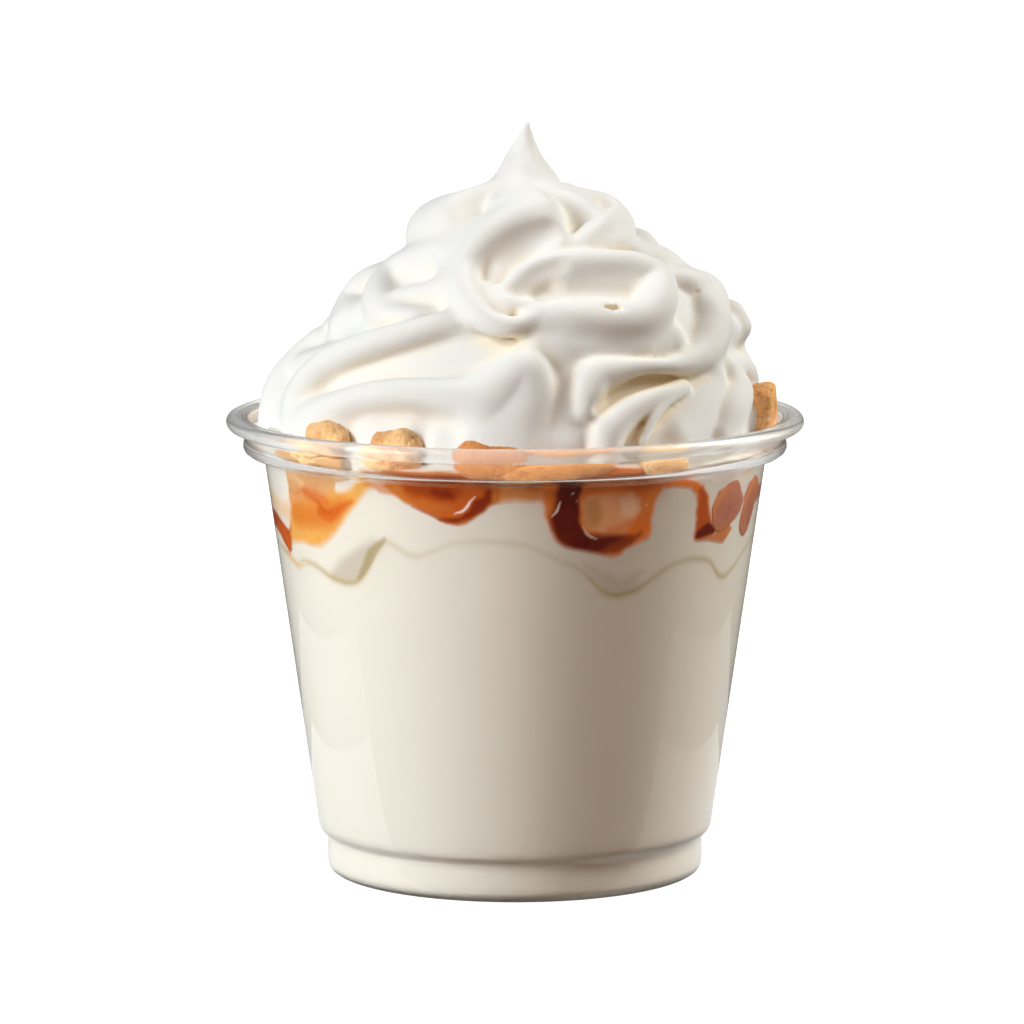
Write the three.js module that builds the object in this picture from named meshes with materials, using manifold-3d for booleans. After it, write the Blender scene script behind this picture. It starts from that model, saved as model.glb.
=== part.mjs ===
// A milkshake in a clear cup: shake, a soft layer of cream, caramel sauce that runs down inside the
// wall, crunchy toffee pieces and a tall piped swirl of whipped cream.
// Millimetres, +Z up. The origin is the centre of the circle that the cup stands on.
// An azimuth is in degrees round the axis: 0 faces -Y, the front, and 90 faces +X.
import * as THREE from "three";
import { mergeVertices } from "three/addons/utils/BufferGeometryUtils.js";
import Module from "manifold-3d";

const wasm = await Module();
wasm.setup();

// ---- Driving dimensions ----
const CUP = {
  height: 78.3,
  rimRadius: 49, // outside of the rolled rim
  rollRadius: 1.25, // half the height of the roll
  collarRadius: 46, // outside of the stacking collar under the roll
  collarBottom: 72.2,
  bodyTopRadius: 42.55,
  bodyTop: 71.2,
  bodyBottomRadius: 33.5,
  bodyBottom: 8.4,
  footRadius: 32,
  footTop: 6.1,
  standRadius: 29, // inner edge of the ring that the cup stands on
  baseRise: 1.6, // the base is raised this much inside that ring
  wall: 0.7,
};
const SECTORS = 48; // facets round the cup, its drink and its layers
const SWIRL_SECTORS = 60; // facets round the whipped cream
const GAP = 0.3; // kept between neighbouring solids

const SHAKE_LEVEL = 58; // top of the drink in the middle of the cup
const SAUCE_BOTTOM = 70.6; // underside of the caramel layer away from its drips
const SAUCE_TOP = 72.3;
const SAUCE_SKIRT = 1.6; // how thick a drip is against the wall
const CREAM_BOTTOM = SAUCE_TOP + GAP;
const PEAK_TOP = 127.6;
const PEAK_SHIFT = 2; // the tip leans this far to +X

// Low and high places of the edge between drink and cream, at the wall.
const SHAKE_WAVES = [
  { azimuth: -46, width: 13, height: -4.5 },
  { azimuth: -31, width: 5, height: 4 },
  { azimuth: -6, width: 20, height: 4.6 },
  { azimuth: 25, width: 14, height: -5.6 },
  { azimuth: 62, width: 8, height: -5 },
  { azimuth: 95, width: 18, height: 3 },
  { azimuth: 128, width: 15, height: -4.5 },
  { azimuth: 160, width: 16, height: 4 },
  { azimuth: 195, width: 14, height: -4 },
  { azimuth: 228, width: 16, height: 3.5 },
  { azimuth: 262, width: 14, height: -3 },
];

// Sauce that has run down the wall: how far below SAUCE_BOTTOM, and half of how wide.
const DRIPS = [
  { azimuth: -80, width: 11, drop: 9 },
  { azimuth: -69, width: 7, drop: 13 },
  { azimuth: -55, width: 14, drop: 11.5 },
  { azimuth: -15, width: 12, drop: 5.8 },
  { azimuth: 13, width: 7, drop: 9.5 },
  { azimuth: 24, width: 10, drop: 10.6 },
  { azimuth: 50, width: 8, drop: 10.6 },
  { azimuth: 71, width: 6, drop: 9 },
  { azimuth: 100, width: 10, drop: 6 },
  { azimuth: 122, width: 9, drop: 11 },
  { azimuth: 150, width: 11, drop: 7 },
  { azimuth: 178, width: 9, drop: 10.5 },
  { azimuth: 204, width: 12, drop: 6.5 },
  { azimuth: 232, width: 9, drop: 11.5 },
  { azimuth: 256, width: 10, drop: 8 },
];

// Toffee pieces: azimuth and height of the middle, then width round the cup, height and depth.
const CRUNCH = [
  { azimuth: -59, z: 71.4, radius: 38.9, size: [13.6, 7.6, 4.6], roll: 4 },
  { azimuth: -44, z: 77.3, radius: 40.4, size: [8.4, 6, 4.4], roll: -8 },
  { azimuth: -27, z: 76.2, radius: 40, size: [11.5, 7.4, 4.6], roll: 3 },
  { azimuth: -4, z: 75.8, radius: 40, size: [13, 7.2, 4.4], roll: -5 },
  { azimuth: 16, z: 73.9, radius: 39.2, size: [9, 4.8, 4.2], roll: 6 },
  { azimuth: 37, z: 73.6, radius: 39.2, size: [9.4, 5, 4.2], roll: -4 },
  { azimuth: 58, z: 65.4, radius: 38, size: [10.4, 7.2, 4.4], roll: -12 },
  { azimuth: 73.5, z: 65, radius: 38, size: [8.4, 9.4, 4.2], roll: 14 },
  { azimuth: 82, z: 80.4, radius: 41, size: [8.8, 10.4, 5.6], roll: 8 },
  { azimuth: 112, z: 74.6, radius: 39, size: [12, 7, 4.4], roll: 5 },
  { azimuth: 139, z: 77.4, radius: 40, size: [9.4, 7.6, 4.6], roll: -9 },
  { azimuth: 168, z: 74.2, radius: 39, size: [12.8, 6.4, 4.4], roll: 7 },
  { azimuth: 199, z: 77, radius: 40, size: [10, 7.4, 4.6], roll: -6 },
  { azimuth: 229, z: 74, radius: 39, size: [11.6, 6.6, 4.4], roll: 9 },
  { azimuth: 261, z: 77, radius: 40, size: [9.6, 7.2, 4.6], roll: -5 },
];

// Outline of the whipped cream: [height, radius].
const DOME = [
  [70, 42.6],
  [84, 42.6],
  [90, 40],
  [96, 35],
  [102, 28.4],
  [108, 22],
  [113, 17.6],
  [116, 12.6],
  [118.5, 7.4],
  [121.5, 4.2],
  [125, 2.2],
  [PEAK_TOP, 0.6],
];
const FOLD_DEPTH = 6.5; // how far the core lies inside the crests of the folds
const FOLD_BLEND = 2; // how softly one fold runs into the next

// Piped folds, as a hand lays them: each runs over the dome through [azimuth, height] places.
const FOLDS = [
  // front, from the rim up
  { thick: 5.4, through: [[-48, 84.5], [-30, 87.6], [-10, 87.8], [3, 91.6], [9, 86], [6, 80]] },
  { thick: 5.2, through: [[-44, 80], [-24, 82], [-6, 80]] },
  { thick: 5.8, lift: 0.6, through: [[-74, 80], [-72, 88], [-50, 94], [-28, 97.6], [-10, 97]] },
  { thick: 4.6, through: [[-66, 101], [-60, 106.5], [-40, 108.5], [-22, 108]] },
  { thick: 4.2, through: [[-72, 95], [-56, 99], [-36, 100.5], [-20, 102]] },
  { thick: 5, lift: 0.6, through: [[24, 113.6], [-6, 109.5], [-13, 103], [0, 97.6], [12, 102], [22, 107]] },
  { thick: 4.8, lift: 0.8, through: [[22, 107], [44, 107], [53, 101.5], [36, 96.4], [8, 95.2]] },
  { thick: 3.4, through: [[8, 98.6], [22, 100.6], [40, 100.6]] },
  { thick: 6, lift: 1, through: [[48, 107], [70, 101], [76, 93], [58, 89.6]] },
  { thick: 5, through: [[58, 89.6], [34, 90.6], [14, 90], [13, 82]] },
  { thick: 4.2, through: [[46, 87], [32, 84.6], [22, 79]] },
  { thick: 5.2, lift: 0.4, through: [[74, 87], [54, 83], [42, 78]] },
  // round the back
  { thick: 6, lift: 0.8, through: [[84, 84], [104, 90], [126, 93], [142, 88], [148, 80]] },
  { thick: 5.6, through: [[82, 98], [104, 97], [124, 100.6], [140, 97]] },
  { thick: 5.2, through: [[80, 107], [104, 105], [122, 107.6], [146, 103]] },
  { thick: 5.8, lift: 0.6, through: [[120, 80], [150, 84], [176, 92], [200, 90], [208, 82]] },
  { thick: 5.4, lift: 0.6, through: [[146, 96], [170, 100.6], [196, 99], [214, 93]] },
  { thick: 5, through: [[150, 108], [176, 107], [204, 106], [226, 102]] },
  { thick: 6, lift: 0.6, through: [[196, 80], [222, 86], [244, 92], [262, 88], [270, 80]] },
  { thick: 5.4, lift: 0.4, through: [[216, 98], [240, 101], [262, 97], [284, 92]] },
  { thick: 5, through: [[228, 108], [252, 107], [276, 104], [294, 104]] },
  // crown
  { thick: 5, lift: 1.4, through: [[-70, 113], [-50, 115], [-20, 116.4], [20, 115.4]] },
  { thick: 5.2, lift: 1.6, through: [[46, 115], [76, 112.6], [96, 109], [70, 108]] },
  { thick: 5, lift: 0.8, through: [[110, 114], [150, 113], [190, 114.6], [240, 113], [286, 113]] },
];

// ---- Helpers ----
const radians = THREE.MathUtils.degToRad;

function place(azimuth, radius, z) {
  const a = radians(azimuth);
  return new THREE.Vector3(radius * Math.sin(a), -radius * Math.cos(a), z);
}

// Straight-line reading of a list of [x, y] pairs whose x rises.
function read(pairs, x) {
  let i = 1;
  while (i < pairs.length - 1 && pairs[i][0] < x) i += 1;
  const [x0, y0] = pairs[i - 1];
  const [x1, y1] = pairs[i];
  const share = THREE.MathUtils.clamp((x - x0) / (x1 - x0), 0, 1);
  return y0 + (y1 - y0) * share;
}

// Sum of soft bumps round the axis, each as tall as its own height.
function bumps(list, azimuth, key) {
  let sum = 0;
  for (const bump of list) {
    const turn = ((azimuth - bump.azimuth + 540) % 360) - 180;
    sum += bump[key] * Math.exp(-((turn / bump.width) ** 2) * 1.4);
  }
  return sum;
}

// Points on an arc, from one angle to another, in degrees.
function arc(x, y, radius, from, to, steps) {
  return Array.from({ length: steps + 1 }, (_, i) => {
    const a = radians(from + ((to - from) * i) / steps);
    return [x + radius * Math.cos(a), y + radius * Math.sin(a)];
  });
}

// A body turned about Z from [radius, z] pairs that start and end on the axis.
function turned(profile, sectors) {
  const points = profile.map(([r, z]) => new THREE.Vector2(r, z));
  const geometry = new THREE.LatheGeometry(points, sectors);
  geometry.rotateX(Math.PI / 2);
  return geometry;
}

// A closed body from rings stacked between a first and a last point on the axis. Each ring is a
// function of azimuth that gives [radius, z, shift along X]. Four-cornered facets are split from
// their inner ring outwards, so that a top and the underside that lies on it are split alike.
function stacked(first, rings, last, sectors) {
  const positions = [0, 0, first];
  for (const ring of rings) {
    for (let i = 0; i < sectors; i += 1) {
      const azimuth = (i * 360) / sectors;
      const [radius, z, shift = 0] = ring(azimuth);
      const p = place(azimuth, radius, z);
      positions.push(p.x + shift, p.y, p.z);
    }
  }
  const opens = rings.slice(1).map((ring, i) => ring(0)[0] > rings[i](0)[0]);
  const end = positions.length / 3;
  const endShift = rings[rings.length - 1](0)[2] ?? 0;
  positions.push(endShift, 0, last);
  const index = [];
  for (let i = 0; i < sectors; i += 1) {
    const next = (i + 1) % sectors;
    index.push(0, 1 + next, 1 + i);
    for (let ring = 0; ring < rings.length - 1; ring += 1) {
      const a = 1 + ring * sectors;
      const b = a + sectors;
      if (opens[ring]) index.push(a + i, a + next, b + next, a + i, b + next, b + i);
      else index.push(a + i, a + next, b + i, a + next, b + next, b + i);
    }
    const top = 1 + (rings.length - 1) * sectors;
    index.push(top + i, top + next, end);
  }
  const geometry = new THREE.BufferGeometry();
  geometry.setAttribute("position", new THREE.Float32BufferAttribute(positions, 3));
  geometry.setIndex(index);
  return geometry;
}

// ---- Booleans ----
function toSolid(geometry) {
  const bare = geometry.clone();
  bare.deleteAttribute("normal");
  bare.deleteAttribute("uv");
  const merged = mergeVertices(bare, 1e-4);
  return new wasm.Manifold(
    new wasm.Mesh({
      numProp: 3,
      vertProperties: merged.attributes.position.array,
      triVerts: new Uint32Array(merged.index.array),
    }),
  );
}

function toGeometry(solid) {
  const mesh = solid.getMesh();
  const geometry = new THREE.BufferGeometry();
  geometry.setAttribute("position", new THREE.BufferAttribute(mesh.vertProperties, 3));
  geometry.setIndex(new THREE.BufferAttribute(mesh.triVerts, 1));
  return geometry;
}

// ---- Cup ----
function cupOutside() {
  const { rimRadius, rollRadius, height, collarRadius, footRadius } = CUP;
  const rollMiddle = rimRadius - rollRadius;
  return [
    [0, CUP.baseRise],
    [CUP.standRadius - 1.4, CUP.baseRise],
    [CUP.standRadius, 0],
    ...arc(footRadius - 1.5, 1.5, 1.5, -90, 0, 2),
    [footRadius, CUP.footTop - 0.3],
    [footRadius + 0.2, CUP.footTop],
    [CUP.bodyBottomRadius - 0.4, CUP.footTop + 1],
    [CUP.bodyBottomRadius, CUP.bodyBottom],
    [CUP.bodyTopRadius, CUP.bodyTop],
    [CUP.bodyTopRadius + 0.4, CUP.collarBottom],
    [collarRadius - 0.8, CUP.collarBottom],
    [collarRadius, CUP.collarBottom + 0.8],
    [collarRadius, height - 2 * rollRadius],
    ...arc(rollMiddle, height - rollRadius, rollRadius, -90, 90, 4),
    [collarRadius - CUP.wall + 0.5, height - 0.5],
  ];
}

// From the rim down to the middle of the floor.
function cupInside() {
  const { wall } = CUP;
  return [
    [CUP.collarRadius - wall, CUP.height - 1.2],
    [CUP.collarRadius - wall, CUP.collarBottom + 1.2],
    [CUP.collarRadius - wall - 0.6, CUP.collarBottom + 0.7],
    [CUP.bodyTopRadius - wall + 0.3, CUP.collarBottom + 0.5],
    [CUP.bodyTopRadius - wall, CUP.bodyTop],
    [CUP.bodyBottomRadius - wall, CUP.bodyBottom],
    [CUP.footRadius - wall, CUP.footTop],
    [CUP.footRadius - wall, CUP.baseRise + wall],
    [0, CUP.baseRise + wall],
  ];
}

const INSIDE_BY_HEIGHT = cupInside()
  .slice(0, -1)
  .reverse()
  .map(([r, z]) => [z, r]);

// Radius that the contents may fill at a height, clear of the wall.
const room = (z) => read(INSIDE_BY_HEIGHT, z) - GAP;

function cup() {
  return turned([...cupOutside(), ...cupInside()], SECTORS);
}

// ---- Drink and layers ----
const shakeEdge = (azimuth) => SHAKE_LEVEL + bumps(SHAKE_WAVES, azimuth, "height");

// Lower edge of the sauce at the wall, kept clear above the drink.
function sauceEdge(azimuth) {
  const edge = SAUCE_BOTTOM - Math.min(bumps(DRIPS, azimuth, "drop"), 13);
  return Math.max(edge, shakeEdge(azimuth) + 1.6);
}

// The rings of a level top that bends to the wall's own edge in its outermost part.
function shakeTop(offset) {
  return [
    (azimuth) => {
      const edge = shakeEdge(azimuth) + offset;
      return [room(edge), edge];
    },
    (azimuth) => {
      const edge = shakeEdge(azimuth) + offset;
      return [room(edge) - 4, (edge + SHAKE_LEVEL + offset) / 2];
    },
    () => [room(SHAKE_LEVEL) - 10, SHAKE_LEVEL + offset],
  ];
}

function milkshake() {
  const floor = CUP.baseRise + CUP.wall + GAP;
  const rings = [
    () => [room(floor), floor],
    () => [room(CUP.footTop), CUP.footTop],
    () => [room(CUP.bodyBottom), CUP.bodyBottom],
    ...shakeTop(0),
  ];
  return stacked(floor, rings, SHAKE_LEVEL, SECTORS);
}

// Underside of the sauce, or the top of the cream below it: level, then down behind each drip.
function sauceUnder(inset, offset) {
  return [
    () => [room(SAUCE_BOTTOM) - SAUCE_SKIRT - 1 - inset, SAUCE_BOTTOM + offset],
    (azimuth) => {
      const edge = sauceEdge(azimuth) + offset;
      return [room(edge) - SAUCE_SKIRT - inset, edge];
    },
    (azimuth) => {
      const edge = sauceEdge(azimuth) + offset;
      return [room(edge), edge];
    },
  ];
}

function creamLayer() {
  const rings = [...shakeTop(GAP).reverse(), ...sauceUnder(GAP, -GAP).reverse()];
  return stacked(SHAKE_LEVEL + GAP, rings, SAUCE_BOTTOM - GAP, SECTORS);
}

function caramelSauce() {
  const top = () => [room(CUP.bodyTop), SAUCE_TOP];
  const shoulder = () => [room(CUP.bodyTop), CUP.bodyTop];
  return stacked(SAUCE_BOTTOM, [...sauceUnder(0, 0), shoulder, top], SAUCE_TOP, SECTORS);
}

// ---- Whipped cream ----
const domeRadius = (z) => read(DOME, z);

// A point inside the dome's surface: depth is how far in, along the surface's normal.
function onDome(azimuth, z, depth) {
  const slope = (domeRadius(z + 0.5) - domeRadius(z - 0.5)) / 1;
  const tilt = Math.hypot(1, slope);
  return place(azimuth, Math.max(domeRadius(z) - depth / tilt, 0), z + (depth * slope) / tilt);
}

// The middle line of a fold as short straight steps.
function foldLine({ thick, through, lift = 0 }) {
  const points = through.map(([azimuth, z]) => onDome(azimuth, z, thick - lift));
  return new THREE.CatmullRomCurve3(points).getPoints(through.length * 5);
}

const foldLines = FOLDS.map((fold) => ({ thick: fold.thick, line: foldLine(fold) }));

function distanceToStep(p, a, b) {
  const along = b.clone().sub(a);
  const share = THREE.MathUtils.clamp(p.clone().sub(a).dot(along) / along.lengthSq(), 0, 1);
  return p.distanceTo(a.clone().addScaledVector(along, share));
}

function softMin(a, b) {
  const mix = Math.max(FOLD_BLEND - Math.abs(a - b), 0) / FOLD_BLEND;
  return Math.min(a, b) - (mix * mix * FOLD_BLEND) / 4;
}

// Distance from a point to the whipped cream, under zero inside it.
function creamDistance(p) {
  const shift = PEAK_SHIFT * THREE.MathUtils.smoothstep(p.z, 112, 122);
  const fromAxis = Math.hypot(p.x - shift, p.y);
  const depth = FOLD_DEPTH * (1 - THREE.MathUtils.smoothstep(p.z, 114, 120));
  let distance = (fromAxis - domeRadius(p.z) + depth) * 0.75;
  for (const { thick, line } of foldLines) {
    let nearest = Infinity;
    for (let i = 1; i < line.length; i += 1) {
      nearest = Math.min(nearest, distanceToStep(p, line[i - 1], line[i]) - thick);
    }
    distance = softMin(distance, nearest);
  }
  return distance;
}

// How far out the cream reaches at one azimuth and height: walk in from outside until it is met.
function creamReach(azimuth, z, shift) {
  let radius = domeRadius(z) + 8;
  for (let step = 0; step < 60 && radius > 0.4; step += 1) {
    const p = place(azimuth, radius, z);
    p.x += shift;
    const distance = creamDistance(p);
    if (distance < 0.05) break;
    radius -= Math.max(distance, 0.1);
  }
  return Math.max(radius, 0.4);
}

function whippedCream(cutters) {
  const levels = [CREAM_BOTTOM - 1];
  for (let z = 76; z < 118; z += 2.4) levels.push(z);
  levels.push(119, 121, 123.5, 126.4);
  const rings = levels.map((z) => (azimuth) => {
    const shift = PEAK_SHIFT * THREE.MathUtils.smoothstep(z, 112, 122);
    return [creamReach(azimuth, z, shift), z, shift];
  });
  const swirl = toSolid(stacked(CREAM_BOTTOM - 1, rings, PEAK_TOP, SWIRL_SECTORS));
  const neck = room(CREAM_BOTTOM);
  const collar = CUP.collarRadius - CUP.wall - GAP;
  const space = toSolid(
    turned(
      [
        [0, CREAM_BOTTOM],
        [neck, CREAM_BOTTOM],
        [collar, CUP.collarBottom + 1.6],
        [collar, PEAK_TOP + 1],
        [0, PEAK_TOP + 1],
      ],
      SECTORS,
    ),
  );
  return toGeometry(cut(swirl.intersect(space), cutters));
}

// ---- Toffee pieces ----
// A broken nugget: a ball squared off, then dented by waves that differ from piece to piece.
function nugget({ size, azimuth }, grow) {
  const geometry = new THREE.IcosahedronGeometry(1, 1);
  const position = geometry.getAttribute("position");
  const p = new THREE.Vector3();
  for (let i = 0; i < position.count; i += 1) {
    p.fromBufferAttribute(position, i);
    const box = (Math.abs(p.x) ** 4 + Math.abs(p.y) ** 4 + Math.abs(p.z) ** 4) ** -0.25;
    const dent = 1 - 0.09 * (1 + Math.sin(p.x * 5 + p.z * 4 + azimuth) * Math.cos(p.z * 6 - azimuth));
    p.multiplyScalar(box * dent);
    p.multiply(new THREE.Vector3(size[0] / 2 + grow, size[2] / 2 + grow, size[1] / 2 + grow));
    position.setXYZ(i, p.x, p.y, p.z);
  }
  return geometry;
}

// Where a nugget stands: its width runs round the cup, and roll leans it sideways.
function nuggetPlace({ azimuth, z, radius, roll }) {
  const turn = new THREE.Matrix4().makeRotationZ(radians(azimuth));
  const lean = new THREE.Matrix4().makeRotationY(radians(roll));
  const at = place(azimuth, radius, z);
  return new THREE.Matrix4().makeTranslation(at.x, at.y, at.z).multiply(turn).multiply(lean);
}

function cut(solid, cutters) {
  return cutters.reduce((rest, cutter) => rest.subtract(cutter), solid);
}

const cutters = CRUNCH.map((piece) =>
  toSolid(nugget(piece, GAP).applyMatrix4(nuggetPlace(piece))),
);

// ---- The whole ----
const finishes = {
  clearPlastic: { color: 0xeef2f2, roughness: 0.06, metalness: 0 },
  shake: { color: 0xf4ece0, roughness: 0.35, metalness: 0 },
  cream: { color: 0xfaf7f0, roughness: 0.4, metalness: 0 },
  caramel: { color: 0xb4581c, roughness: 0.12, metalness: 0 },
  toffee: { color: 0xd69652, roughness: 0.6, metalness: 0 },
};
const materials = Object.fromEntries(
  Object.entries(finishes).map(([name, finish]) => [name, new THREE.MeshStandardMaterial(finish)]),
);

function named(name, geometry, material) {
  const mesh = new THREE.Mesh(geometry, material);
  mesh.name = name;
  return mesh;
}

const milkshakeGroup = new THREE.Group();
milkshakeGroup.add(
  named("cup", cup(), materials.clearPlastic),
  named("milkshake", milkshake(), materials.shake),
  named("cream_layer", toGeometry(cut(toSolid(creamLayer()), cutters)), materials.cream),
  named("caramel_sauce", toGeometry(cut(toSolid(caramelSauce()), cutters)), materials.caramel),
  named("whipped_cream", whippedCream(cutters), materials.cream),
);
CRUNCH.forEach((piece, i) => {
  const name = `toffee_piece_${String(i + 1).padStart(2, "0")}`;
  const mesh = named(name, nugget(piece, 0), materials.toffee);
  nuggetPlace(piece).decompose(mesh.position, mesh.quaternion, mesh.scale);
  milkshakeGroup.add(mesh);
});

export default milkshakeGroup;
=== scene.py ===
# Milkshake in a clear cup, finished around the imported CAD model. Metres, +Z up, front towards -Y.
import math
import time

import bmesh
import bpy
import numpy as np
from mathutils import Matrix, Vector, noise


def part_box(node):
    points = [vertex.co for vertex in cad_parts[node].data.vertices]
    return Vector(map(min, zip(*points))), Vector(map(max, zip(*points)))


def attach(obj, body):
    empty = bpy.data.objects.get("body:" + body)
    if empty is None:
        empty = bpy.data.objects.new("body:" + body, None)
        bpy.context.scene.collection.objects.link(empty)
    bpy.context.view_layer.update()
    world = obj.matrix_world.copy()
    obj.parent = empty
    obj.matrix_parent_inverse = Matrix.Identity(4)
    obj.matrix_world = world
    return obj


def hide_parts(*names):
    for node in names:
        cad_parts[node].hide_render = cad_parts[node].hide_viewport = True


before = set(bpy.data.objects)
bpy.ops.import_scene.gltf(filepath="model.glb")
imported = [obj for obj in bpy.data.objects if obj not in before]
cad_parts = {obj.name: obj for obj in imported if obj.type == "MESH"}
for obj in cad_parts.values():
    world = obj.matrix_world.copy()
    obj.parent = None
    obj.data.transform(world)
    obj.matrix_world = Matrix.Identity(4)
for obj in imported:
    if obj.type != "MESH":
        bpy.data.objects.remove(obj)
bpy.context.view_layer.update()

startTime = time.time()
mm = 0.001


def report(stage):
    print(f"{stage}: {time.time() - startTime:.1f} s")


def smoothStep(low, high, x):
    t = np.clip((np.asarray(x, float) - low) / (high - low), 0, 1)
    return t * t * (3 - 2 * t)


def softMin(a, b, k):
    h = np.maximum(k - np.abs(a - b), 0) / k
    return np.minimum(a, b) - h * h * k * 0.25


def softMax(a, b, k):
    return -softMin(-a, -b, k)


def turnBetween(a, b):
    return (np.asarray(a, float) - b + 540) % 360 - 180  # degrees from b to a, -180 to 180


def addPiece(name, verts, faces, material, replaced=()):
    # verts in millimetres, every face with the same number of corners
    mesh = bpy.data.meshes.new(name)
    verts = np.asarray(verts, float) * mm
    faces = np.asarray(faces, np.int32)
    mesh.vertices.add(len(verts))
    mesh.vertices.foreach_set("co", verts.ravel())
    corners = faces.shape[1]
    mesh.loops.add(faces.size)
    mesh.loops.foreach_set("vertex_index", faces.ravel())
    mesh.polygons.add(len(faces))
    mesh.polygons.foreach_set("loop_start", np.arange(len(faces), dtype=np.int32) * corners)
    mesh.update(calc_edges=True)
    mesh.validate()
    mesh.polygons.foreach_set("use_smooth", [True] * len(mesh.polygons))
    mesh.materials.append(material)
    piece = bpy.data.objects.new(name, mesh)
    bpy.context.scene.collection.objects.link(piece)
    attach(piece, "root")
    if replaced:
        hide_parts(*replaced)
    return piece


def paint(piece, name, values):
    layer = piece.data.attributes.new(name, "FLOAT", "POINT")
    layer.data.foreach_set("value", np.asarray(values, np.float32))


def paintColor(piece, name, colors):
    layer = piece.data.attributes.new(name, "FLOAT_COLOR", "POINT")
    layer.data.foreach_set("color", np.column_stack([colors, np.ones(len(colors))]).astype(np.float32).ravel())


def vertexNormals(piece):
    flat = np.zeros(len(piece.data.vertices) * 3)
    piece.data.vertices.foreach_get("normal", flat)
    return flat.reshape(-1, 3)


def ringGrid(radius, height, around):
    # closed loft: radius and height are (rings, around); the first and last ring close on the axis
    rings = radius.shape[0]
    angle = np.radians(np.arange(around) * 360 / around)
    x = radius * np.sin(angle)[None]
    y = -radius * np.cos(angle)[None]
    verts = np.stack([x, y, height], -1).reshape(-1, 3)
    i = np.arange(rings - 1)[:, None] * around
    j = np.arange(around)[None]
    k = (j + 1) % around
    quads = np.stack([i + j, i + k, i + around + k, i + around + j], -1).reshape(-1, 4)
    return verts, quads


def stackRings(rings, around):
    # rings are pairs of radius and height, each an array of one value for every step round
    radius = np.array([r for r, z in rings])
    height = np.array([z for r, z in rings])
    verts, quads = ringGrid(radius, height, around)
    return verts, quads, height.ravel()


def newGroup(name, inputs, outputs):
    group = bpy.data.node_groups.new(name, "ShaderNodeTree")
    for socketName, kind, value in inputs:
        socket = group.interface.new_socket(socketName, in_out="INPUT", socket_type=kind)
        socket.default_value = value
    for socketName, kind in outputs:
        group.interface.new_socket(socketName, in_out="OUTPUT", socket_type=kind)
    return group, group.nodes.new("NodeGroupInput"), group.nodes.new("NodeGroupOutput")


def join(tree, a, b):
    tree.links.new(a, b)


def calc(tree, operation, a, b=None, c=None):
    node = tree.nodes.new("ShaderNodeMath")
    node.operation = operation
    for i, value in enumerate((a, b, c)):
        if value is None:
            continue
        if isinstance(value, (int, float)):
            node.inputs[i].default_value = value
        else:
            join(tree, value, node.inputs[i])
    return node.outputs[0]


def blendColor(tree, share, a, b):
    node = tree.nodes.new("ShaderNodeMix")
    node.data_type = "RGBA"
    for socket, value in ((node.inputs[0], share), (node.inputs[6], a), (node.inputs[7], b)):
        if isinstance(value, (int, float)):
            socket.default_value = value
        elif isinstance(value, (tuple, list)):
            socket.default_value = (*value, 1)
        else:
            join(tree, value, socket)
    return node.outputs[2]


def noiseField(tree, scale, detail=3.0, rough=0.55):
    where = tree.nodes.new("ShaderNodeTexCoord")
    field = tree.nodes.new("ShaderNodeTexNoise")
    field.inputs["Detail"].default_value = detail
    field.inputs["Roughness"].default_value = rough
    join(tree, where.outputs["Object"], field.inputs["Vector"])
    if isinstance(scale, (int, float)):
        field.inputs["Scale"].default_value = scale
    else:
        join(tree, scale, field.inputs["Scale"])
    return field.outputs["Fac"]


def makeMottleGroup():
    # soft colour drift and a fine surface tooth, shared by every food finish
    group, inside, outside = newGroup(
        "softMottle",
        [("Color", "NodeSocketColor", (1, 1, 1, 1)), ("Drift Color", "NodeSocketColor", (1, 1, 1, 1)),
         ("Drift", "NodeSocketFloat", 0.3), ("Patch Scale", "NodeSocketFloat", 60.0),
         ("Tooth Scale", "NodeSocketFloat", 900.0), ("Tooth", "NodeSocketFloat", 0.5)],
        [("Color", "NodeSocketColor"), ("Height", "NodeSocketFloat"), ("Mask", "NodeSocketFloat")])
    patches = noiseField(group, inside.outputs["Patch Scale"], 3.0)
    tooth = noiseField(group, inside.outputs["Tooth Scale"], 4.0, 0.6)
    share = calc(group, "MULTIPLY", patches, inside.outputs["Drift"])
    join(group, blendColor(group, share, inside.outputs["Color"], inside.outputs["Drift Color"]),
         outside.inputs["Color"])
    height = calc(group, "ADD", calc(group, "MULTIPLY", tooth, inside.outputs["Tooth"]), patches)
    join(group, height, outside.inputs["Height"])
    join(group, patches, outside.inputs["Mask"])
    return group


mottleGroup = makeMottleGroup()


def makeBubbleGroup():
    # tiny air bubbles and pinholes: cells with a soft bright rim
    group, inside, outside = newGroup(
        "fineBubbles",
        [("Scale", "NodeSocketFloat", 500.0), ("Size", "NodeSocketFloat", 0.2), ("Amount", "NodeSocketFloat", 0.3)],
        [("Mask", "NodeSocketFloat"), ("Height", "NodeSocketFloat")])
    where = group.nodes.new("ShaderNodeTexCoord")
    cells = group.nodes.new("ShaderNodeTexVoronoi")
    join(group, where.outputs["Object"], cells.inputs["Vector"])
    join(group, inside.outputs["Scale"], cells.inputs["Scale"])
    pick = group.nodes.new("ShaderNodeSeparateColor")
    join(group, cells.outputs["Color"], pick.inputs[0])
    chosen = calc(group, "LESS_THAN", pick.outputs[0], inside.outputs["Amount"])
    size = calc(group, "MULTIPLY", inside.outputs["Size"], calc(group, "ADD", pick.outputs[1], 0.35))
    near = calc(group, "SUBTRACT", 1.0, calc(group, "DIVIDE", cells.outputs["Distance"], size))
    mask = calc(group, "MULTIPLY", calc(group, "MAXIMUM", near, 0.0), chosen)
    join(group, mask, outside.inputs["Mask"])
    join(group, calc(group, "MULTIPLY", mask, -1.0), outside.inputs["Height"])
    return group


bubbleGroup = makeBubbleGroup()


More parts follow.
